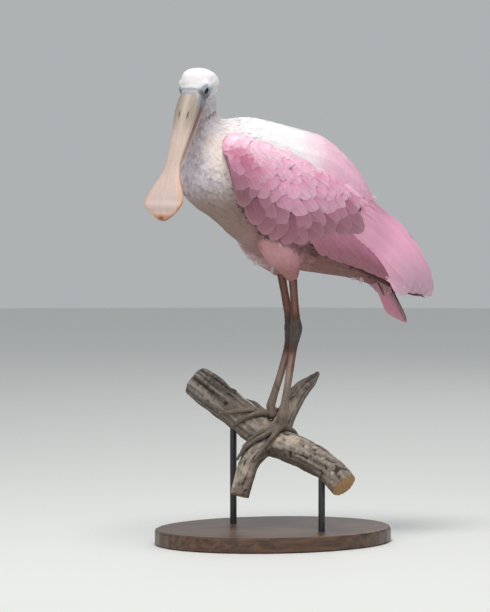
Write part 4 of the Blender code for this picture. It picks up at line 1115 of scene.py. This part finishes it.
def horn_colour(upper, along, left, half, lift):
    """The horn's colour: streaked grey-brown at the root, pale pink on the spoon, orange at its rim and nail, with
    painted shade along the mouth line.
    """
    spoon, across = step(85, 115, along), abs(left / half)
    if upper:
        colour = between((144, 133, 122), (198, 176, 164), step(20, 60, along))
        for over, amount in (
                ((216, 204, 192), 0.6 * math.exp(-(left / 5.5) ** 2) * step(70, 20, along)),
                ((206, 184, 176), spoon),
                ((220, 160, 128), step(0.80, 0.97, across) * spoon),
                ((214, 150, 110), 0.75 * step(149, 154, along)),
                ((150, 88, 56), step(151.5, 155.5, along) * math.exp(-(left / 4) ** 2)),
                ((150, 134, 124), 0.7 * step(3.5, 0.5, along)),
                ((184, 150, 122), 0.42 * math.exp(-((abs(left) - 7.5) / 2.4) ** 2) * step(46, 16, along))):
            colour = between(colour, over, amount)
    else:
        colour = between(between((204, 168, 152), (206, 158, 140), spoon), (150, 148, 150), step(24, 15, along))
    # painted shade: the faces inside the mouth line are painted dark, and the strip of side wall next to it darker
    # towards the root, for the shade between the mandibles
    if lift < 0:
        colour = between(colour, (92, 62, 56), 0.9)
    elif lift < 0.07:
        colour = between(colour, (104, 74, 66), 0.7 * step(105, 20, along))
    return between(colour, (128, 134, 142), 0.85 * step(20, 8, along) * step(0.62, 0.80, across))


def faces_outward(made):
    """Turns a closed piece's faces outwards, its doubled points merged."""
    whole = bmesh.new()
    whole.from_mesh(made.data)
    bmesh.ops.remove_doubles(whole, verts=whole.verts, dist=1e-6)
    bmesh.ops.recalc_face_normals(whole, faces=whole.faces)
    whole.to_mesh(made.data)
    whole.free()


def mandible(name, upper):
    points, marks, uv, faces = [], [], [], []
    wide = ARCH + FLAT
    for i, (along, culmen, mouth, keel, half) in enumerate(smooth_rows(BILL, RINGS_ALONG)):
        inner, outer = mouth + (0.17 if upper else -0.17), culmen if upper else keel
        turns = [math.pi * k / (ARCH - 1) for k in range(ARCH)]
        ring = [(half * 0.98 * math.cos(turn), math.sin(turn)) for turn in turns]
        ring += [(half * 0.98 * (-1 + 2 * k / (FLAT + 1)), -1) for k in range(1, FLAT + 1)]
        for left, lift in ring:
            height = inner + (outer - inner) * (max(lift, 0.0) ** 0.5)
            deep, dark = horn_relief(along, left, half) if upper and lift >= 0 else (0.0, 0.0)
            points.append(on_head(along, left, height - (deep if upper else -deep)))
            uv.append((0.5 + left / 60, along / 157))
            colour = tone(*horn_colour(upper, along, left, half, lift))
            # painted shade: the nostril slits are painted near black
            marks.append(between(colour, tone(34, 24, 22), min(1.0, dark * 1.6)))
        for k in range(wide if i else 0):
            a, b = (i - 1) * wide + k, (i - 1) * wide + (k + 1) % wide
            faces.append((a, b, b + wide, a + wide))
    faces += [list(range(wide))[::-1], [len(points) - wide + k for k in range(wide)]]
    made = piece_of(name, points, faces, horn)
    faces_outward(made)
    layer = made.data.uv_layers.new(name="vane")
    for loop in made.data.loops:
        layer.data[loop.index].uv = uv[loop.vertex_index]
    store(made.data, "marks", marks, "FLOAT_COLOR")
    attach(made, "root")
    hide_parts(name)


mandible("bill_upper", True)
mandible("bill_lower", False)

# Eyes
# A dark red iris round a black pupil under a clear, wet front, held by two thin grey lids whose
# opening is longer along the head than it is high.

EYE_RADIUS = 5.6
EYE_RINGS, ROUND_EYE = 26, 40  # rings from the front of a ball to its back, and points round each
PUPIL_EDGE, IRIS_EDGE = 0.925, 0.86  # cosines of the angle off the look
LID_FOLDS = (  # how far out from the opening, and how high over the ball
    (0.0, 0.05), (0.02, 0.30), (0.12, 0.46), (0.30, 0.46), (0.62, 0.30), (0.98, 0.0), (1.3, -0.8))
eye_glass, tree, shader = finish_of("eye", 0.06, Specular_IOR_Level=0.4, Coat_Weight=0.25, Coat_Roughness=0.03)
tree.links.new(painted(tree), shader.inputs["Base Color"])
lid_skin, tree, shader = finish_of("eyelid_skin", 0.6)
wrinkle = node(tree, "ShaderNodeTexNoise", {"Vector": place_in(tree), "Scale": 700.0, "Detail": 4.0}).outputs["Fac"]
tree.links.new(mixed(tree, wrinkle, tone(104, 114, 126), tone(158, 170, 182)), shader.inputs["Base Color"])
relief(tree, shader, wrinkle, 0.0004)
for word, (at, look) in EYES.items():
    centre, look = place(*at), Vector(look).normalized()
    long = (head_axes()[0] - look * head_axes()[0].dot(look)).normalized()
    high = look.cross(long).normalized()
    high = high if high.dot(head_axes()[2]) > 0 else -high
    points, faces = [], []
    for i in range(EYE_RINGS):
        turn = math.pi * i / (EYE_RINGS - 1)
        bulge = 1 + 0.05 * math.exp(-(turn / 0.5) ** 2)
        for k in range(ROUND_EYE):
            angle = 2 * math.pi * k / ROUND_EYE
            out = look * math.cos(turn) + (long * math.cos(angle) + high * math.sin(angle)) * math.sin(turn)
            points.append(centre + out * EYE_RADIUS * bulge * MM)
            if i:
                a, b = (i - 1) * ROUND_EYE + k, (i - 1) * ROUND_EYE + (k + 1) % ROUND_EYE
                faces.append((a, a + ROUND_EYE, b + ROUND_EYE, b))
    ball = piece_of("eye_" + word + "_ball", points, faces, eye_glass)
    faces_outward(ball)
    ahead = [(v.co - centre).normalized().dot(look) for v in ball.data.vertices]
    store(ball.data, "marks", [tone(8, 6, 7) if facing > PUPIL_EDGE else
                               tone(70, 12, 10) if facing > IRIS_EDGE else tone(30, 16, 16)
                               for facing in ahead], "FLOAT_COLOR")
    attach(ball, "root")
    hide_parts("eye_" + word)
    points, faces, wide = [], [], len(LID_FOLDS)
    for k in range(ROUND_EYE):
        angle = 2 * math.pi * k / ROUND_EYE
        c, s = math.cos(angle), math.sin(angle)
        opening = 1 / math.sqrt((c / 0.78) ** 2 + (s / (0.35 if s > 0 else 0.40)) ** 2)
        for out, rise in LID_FOLDS:
            turn = opening * (1 - out * 0.15) + out * 0.62
            way = look * math.cos(turn) + (long * c + high * s) * math.sin(turn)
            points.append(centre + way * (EYE_RADIUS + 0.15 + rise) * MM)
        for j in range(wide - 1):
            a, b = k * wide + j, ((k + 1) % ROUND_EYE) * wide + j
            faces.append((a, b, b + 1, a + 1))
    lid = piece_of("eyelids_" + word, points, faces, lid_skin)
    turned = bmesh.new()
    turned.from_mesh(lid.data)
    bmesh.ops.recalc_face_normals(turned, faces=turned.faces)
    turned.faces.ensure_lookup_table()
    if turned.faces[0].normal.dot(look) < 0:
        bmesh.ops.reverse_faces(turned, faces=turned.faces)
    turned.to_mesh(lid.data)
    turned.free()
    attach(lid, "root")

# Legs and feet
# Bare legs with knobbed ankles and long toes in hard scales: broad plates down the front and over
# the toes, small ones elsewhere. Their surface is the solids' own, with the plates raised on it.

SHIN_PLATE, TOE_PLATE = 5.0, 3.2  # millimetres from one plate to the next


def paint(mesh, ground, layers):
    """Keeps a mesh's colours: a ground, then each colour over it by an amount at every point."""
    colours = np.tile(np.array(tone(*ground)[:3]), (len(mesh.vertices), 1))
    for colour, amount in layers:
        colours += (np.array(tone(*colour)[:3]) - colours) * np.clip(amount, 0, 1)[:, None]
    store(mesh, "marks", np.column_stack([colours, np.ones(len(colours))]), "FLOAT_COLOR")


scale_finish, tree, shader = finish_of("leg_scale", 0.55, Specular_IOR_Level=0.4)
where = place_in(tree)
cells = node(tree, "ShaderNodeTexVoronoi", {"Vector": where, "Scale": 900.0}, feature="DISTANCE_TO_EDGE")
seams = node(tree, "ShaderNodeMapRange", {"Value": cells.outputs[0], "From Max": 0.10, "To Min": 0.82}).outputs[0]
dirt = node(tree, "ShaderNodeTexNoise", {"Vector": where, "Scale": 120.0, "Detail": 5.0})
level = node(tree, "ShaderNodeMapRange",
             {"Value": dirt.outputs["Fac"], "From Min": 0.5, "From Max": 0.75, "To Max": 0.45}).outputs[0]
dusty = mixed(tree, level, painted(tree), tone(126, 112, 102))
tree.links.new(mixed(tree, 1.0, dusty, seams, "MULTIPLY"), shader.inputs["Base Color"])
relief(tree, shader, seams, 0.0005, 0.6)
for word, side in (("left", 1), ("right", -1)):
    limb = bpy.data.objects.new("scaled_leg_" + word, node_mesh(["leg_" + word, "foot_" + word], 0.30 * MM))
    bpy.context.scene.collection.objects.link(limb)
    remeshed(limb, 0.8 * MM, 2)
    data = limb.data
    p, n = numbers(data, "vertices", "co", 3), numbers(data, "vertex_normals", "vector", 3)
    high = p[:, 2] / MM - FEET
    shin = step(14, 22, high)
    forward = shin * step(0.1, 0.5, n @ np.array((-0.92, -0.25 * side, 0.1)))
    forward += (1 - shin) * step(0.0, 0.45, n[:, 2])
    run = np.hypot(p[:, 0] / MM - 5, np.abs(p[:, 1]) / MM - 14)
    plate = np.abs(np.where(high > 18, np.sin(high * math.pi / SHIN_PLATE), np.sin(run * math.pi / TOE_PLATE))) ** 0.4
    knots = np.array([noise.noise(Vector(q) * 260) + 0.5 * noise.noise(Vector(q) * 700) for q in p])
    raised = (plate - 0.8) * forward * 0.3 + knots * (0.18 + 0.3 * (1 - shin)) + 0.35 * (1 - shin) - 0.25 * shin
    p = p + n * raised[:, None] * MM
    move_points(data, p)
    cracks = np.array([noise.noise(Vector((q[0] * 300, q[1] * 300, q[2] * 90))) for q in p])
    lit_above, lit_below = n @ np.array((-0.35, -0.93, 0)), n @ np.array((-0.6, -0.8, 0))
    paint(data, (86, 54, 40), (
        ((98, 60, 46), step(122, 140, high)),
        ((74, 65, 62), step(92, 102, high) * step(130, 120, high)),
        ((112, 68, 56), step(92, 84, high)),
        ((134, 116, 102), step(75, 45, high + 14 * cracks)),
        ((88, 74, 68), (1 - plate) * forward * 0.6),
        ((92, 78, 68), step(0.1, 0.45, cracks) * step(70, 40, high) * 0.7),
        ((98, 87, 76), step(16, 6, high) * 0.8),
        ((166, 112, 98), 0.5 * step(0.75, 0.95, lit_above) * step(128, 140, high)),
        ((172, 152, 136), 0.6 * step(0.7, 0.95, lit_below) * step(90, 78, high) * step(40, 60, high))))
    data.materials.clear()
    data.materials.append(scale_finish)
    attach(limb, "root")
    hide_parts("leg_" + word, "foot_" + word)

# Claws
# Short curved claws of dark horn, one at the end of each toe. Each is a closed, tapered tube along
# a bent line, let into the toe's scaled end.

CLAWS = {  # three points along each claw, in millimetres from the feet
    "left": (
        ((-35.0, -1.4, -22.4), (-38.2, 0, -25.0), (-39.8, 0.7, -28.6)),
        ((-45.2, -9.1, -32.6), (-48.0, -9.0, -36), (-49.6, -8.4, -39.8)),
        ((-31.0, -23.0, -36.0), (-34.0, -23.9, -39), (-36.6, -23.3, -42.2)),
        ((28.6, -13.4, -19), (30.4, -14.2, -22.6), (30.9, -15.5, -26.4))),
    "right": (
        ((-38.9, 22.2, 0.2), (-41.8, 24.6, -2.9), (-42.9, 27.0, -5.1)),
        ((-48.0, 41.0, 13.4), (-50.6, 44.2, 13), (-51.8, 48, 12.4)),
        ((-28.0, 49.2, 36.8), (-30.4, 51.7, 39.2), (-33, 54.6, 40)),
        ((25.0, 10.0, 29), (28.4, 9.9, 31.3), (32, 10.8, 32.5)))}
CLAW_RINGS, ROUND_CLAW = 8, 10
claw_horn, tree, shader = finish_of("claw_horn", 0.35)
band = node(tree, "ShaderNodeTexNoise", {"Vector": place_in(tree), "Scale": 260.0})
tree.links.new(mixed(tree, band.outputs["Fac"], tone(44, 36, 34), tone(96, 82, 74)), shader.inputs["Base Color"])
for word, claws in CLAWS.items():
    points, faces = [], []
    for claw in claws:
        start, path = len(points), smooth_rows(claw, CLAW_RINGS)
        for k, spot in enumerate(path):
            way = Vector(path[min(k + 1, CLAW_RINGS - 1)] - path[max(k - 1, 0)]).normalized()
            across = way.cross(Vector((0.2, 0.3, 1))).normalized()
            radius = 1.75 * (1 - k / (CLAW_RINGS - 1)) ** 0.6 + 0.12
            for j in range(ROUND_CLAW):
                angle = 2 * math.pi * j / ROUND_CLAW
                out = across * math.cos(angle) * 0.8 + way.cross(across) * math.sin(angle)
                points.append(place(*spot) + out * radius * MM)
                if k:
                    a = start + (k - 1) * ROUND_CLAW + j
                    b = start + (k - 1) * ROUND_CLAW + (j + 1) % ROUND_CLAW
                    faces.append((a, b, b + ROUND_CLAW, a + ROUND_CLAW))
        ends = len(points) - ROUND_CLAW
        faces += [[start + j for j in range(ROUND_CLAW)][::-1], [ends + j for j in range(ROUND_CLAW)]]
    made = piece_of("claws_" + word, points, faces, claw_horn)
    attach(made, "root")

# Perch
# A cut length of weathered branch with a crossing one, grey-brown and furrowed along the grain,
# with pale lichen on top and the wood showing at the sawn ends.

STEM = (
    (-58, 100, 46), (-44, 78, 31), (-28, 50, 13), (-12, 20, -7), (0, 0, -19.5), (14, -26, -26.5), (28, -50, -34.5),
    (42, -74, -48), (52, -94, -66))
CROSSING = (
    (74, 36, 58), (63, 32, 49), (44, 26, 35), (24, 16, 12), (4, 2, -14), (-15, -5, -24), (-31, -8, -38),
    (-41, -10, -60), (-48, -12, -82))
STATIONS, STATION_GAP = 60, 0.0036  # points along each limb's middle, and metres between them
bark, tree, shader = finish_of("weathered_bark", 0.85, Specular_IOR_Level=0.25)
fine = node(tree, "ShaderNodeTexNoise",
            {"Vector": place_in(tree), "Scale": 260.0, "Detail": 8.0, "Roughness": 0.65}).outputs["Fac"]
tree.links.new(mixed(tree, 0.6, painted(tree), fine, "SOFT_LIGHT"), shader.inputs["Base Color"])
relief(tree, shader, fine, 0.0012, 0.9)
perch = bpy.data.objects.new("branch", node_mesh(["stand_perch"]))
bpy.context.scene.collection.objects.link(perch)
remeshed(perch, 1.15 * MM, 3)
data = perch.data
p, n = numbers(data, "vertices", "co", 3), numbers(data, "vertex_normals", "vector", 3)
nearest, axis = KDTree(2 * STATIONS), []
for limb, rows in enumerate((STEM, CROSSING)):
    line = smooth_rows(rows, STATIONS)
    flow = np.gradient(line, axis=0)
    for i in range(STATIONS):
        nearest.insert(place(*line[i]), len(axis))
        axis.append((place(*line[i]), Vector(flow[i]).normalized(), limb, i))
nearest.balance()
furrow, ends, rings = np.empty(len(p)), np.empty(len(p)), np.empty(len(p))
for i, spot in enumerate(p):
    at, way, limb, station = axis[nearest.find(Vector(spot))[1]]
    off = Vector(spot) - at
    along = off.dot(way)
    off = off - way * along
    run = station * STATION_GAP + along
    grain = off.normalized() * 26 + way * run * 130 + Vector((limb * 9, 0, 0))
    furrow[i] = 0.9 * noise.fractal(grain * 0.16, 1.0, 2.1, 4) + 0.35 * noise.noise(Vector(spot) * 240)
    at_end = station < 2 or station > STATIONS - 3
    ends[i] = max(0.0, abs(Vector(n[i]).dot(way)) - 0.72) / 0.28 if at_end else 0.0
    rings[i] = off.length / MM
pits = np.array([noise.noise(Vector(q) * 130) for q in p])
crack = np.maximum(step(-0.30, -0.62, furrow), step(-0.42, -0.62, pits))
gripped = step(46, 30, np.hypot(p[:, 0] / MM + 5, np.abs(p[:, 1] / MM) - 14)) * step(-0.2, 0.3, n[:, 2])
carved = (np.clip(furrow, -0.9, 0.6) * 0.9 - crack * 0.7) * (1 - ends) * (1 - 0.75 * gripped) - 0.35
p = p + n * carved[:, None] * MM
move_points(data, p)
lichen = np.array([noise.noise(Vector(q) * 55) + 0.5 * noise.noise(Vector(q) * 170) for q in p])
sideways, upward = p[:, 1] / MM, n[:, 2]
paint(data, (124, 113, 104), (
    ((88, 82, 80), step(20, 70, sideways) * 0.8),
    ((158, 148, 138), step(-0.1, 0.45, furrow)),
    ((46, 36, 30), crack * 0.9),
    ((188, 172, 156), step(0.05, 0.40, lichen) * step(-0.3, 0.4, upward) * step(60, -10, sideways) * 0.8),
    # painted shade: the branch's underside is darker
    ((86, 74, 62), step(0.3, -0.6, upward) * 0.5),
    ((178, 142, 100), ends),
    ((120, 88, 58), ends * (np.sin(rings * 3.2) > 0.55) * 0.8)))
data.materials.clear()
data.materials.append(bark)
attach(perch, "root")
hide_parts("stand_perch")

# Stand
# Two blackened steel rods let into an oval board of dark waxed wood, which carry the branch from
# below. They keep the solids' own meshes and take only a finish.

rod_steel, tree, shader = finish_of("rod_steel", 0.38, Metallic=0.85)
brushed = node(tree, "ShaderNodeTexNoise", {"Vector": place_in(tree), "Scale": 300.0, "Detail": 3.0})
tree.links.new(mixed(tree, brushed.outputs["Fac"], tone(58, 58, 60), tone(84, 84, 86)), shader.inputs["Base Color"])
board_wood, tree, shader = finish_of("board_wood", 0.42, Coat_Weight=0.25, Coat_Roughness=0.3)
course = node(tree, "ShaderNodeMapping", {"Vector": place_in(tree), "Scale": (3.0, 26.0, 26.0)})
veins = node(tree, "ShaderNodeTexNoise",
             {"Vector": course.outputs[0], "Scale": 7.0, "Detail": 9.0, "Distortion": 0.6}).outputs["Fac"]
shade = node(tree, "ShaderNodeValToRGB", {"Fac": veins})
for element, at, colour in zip(shade.color_ramp.elements, (0.35, 0.66), (tone(58, 38, 26), tone(104, 72, 50))):
    element.position, element.color = at, colour
tree.links.new(shade.outputs[0], shader.inputs["Base Color"])
relief(tree, shader, veins, 0.0004, 0.4)
for name, finish in (("stand_rod_back", rod_steel), ("stand_rod_front", rod_steel), ("stand_base", board_wood)):
    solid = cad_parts[name]
    solid.data.materials.clear()
    solid.data.materials.append(finish)
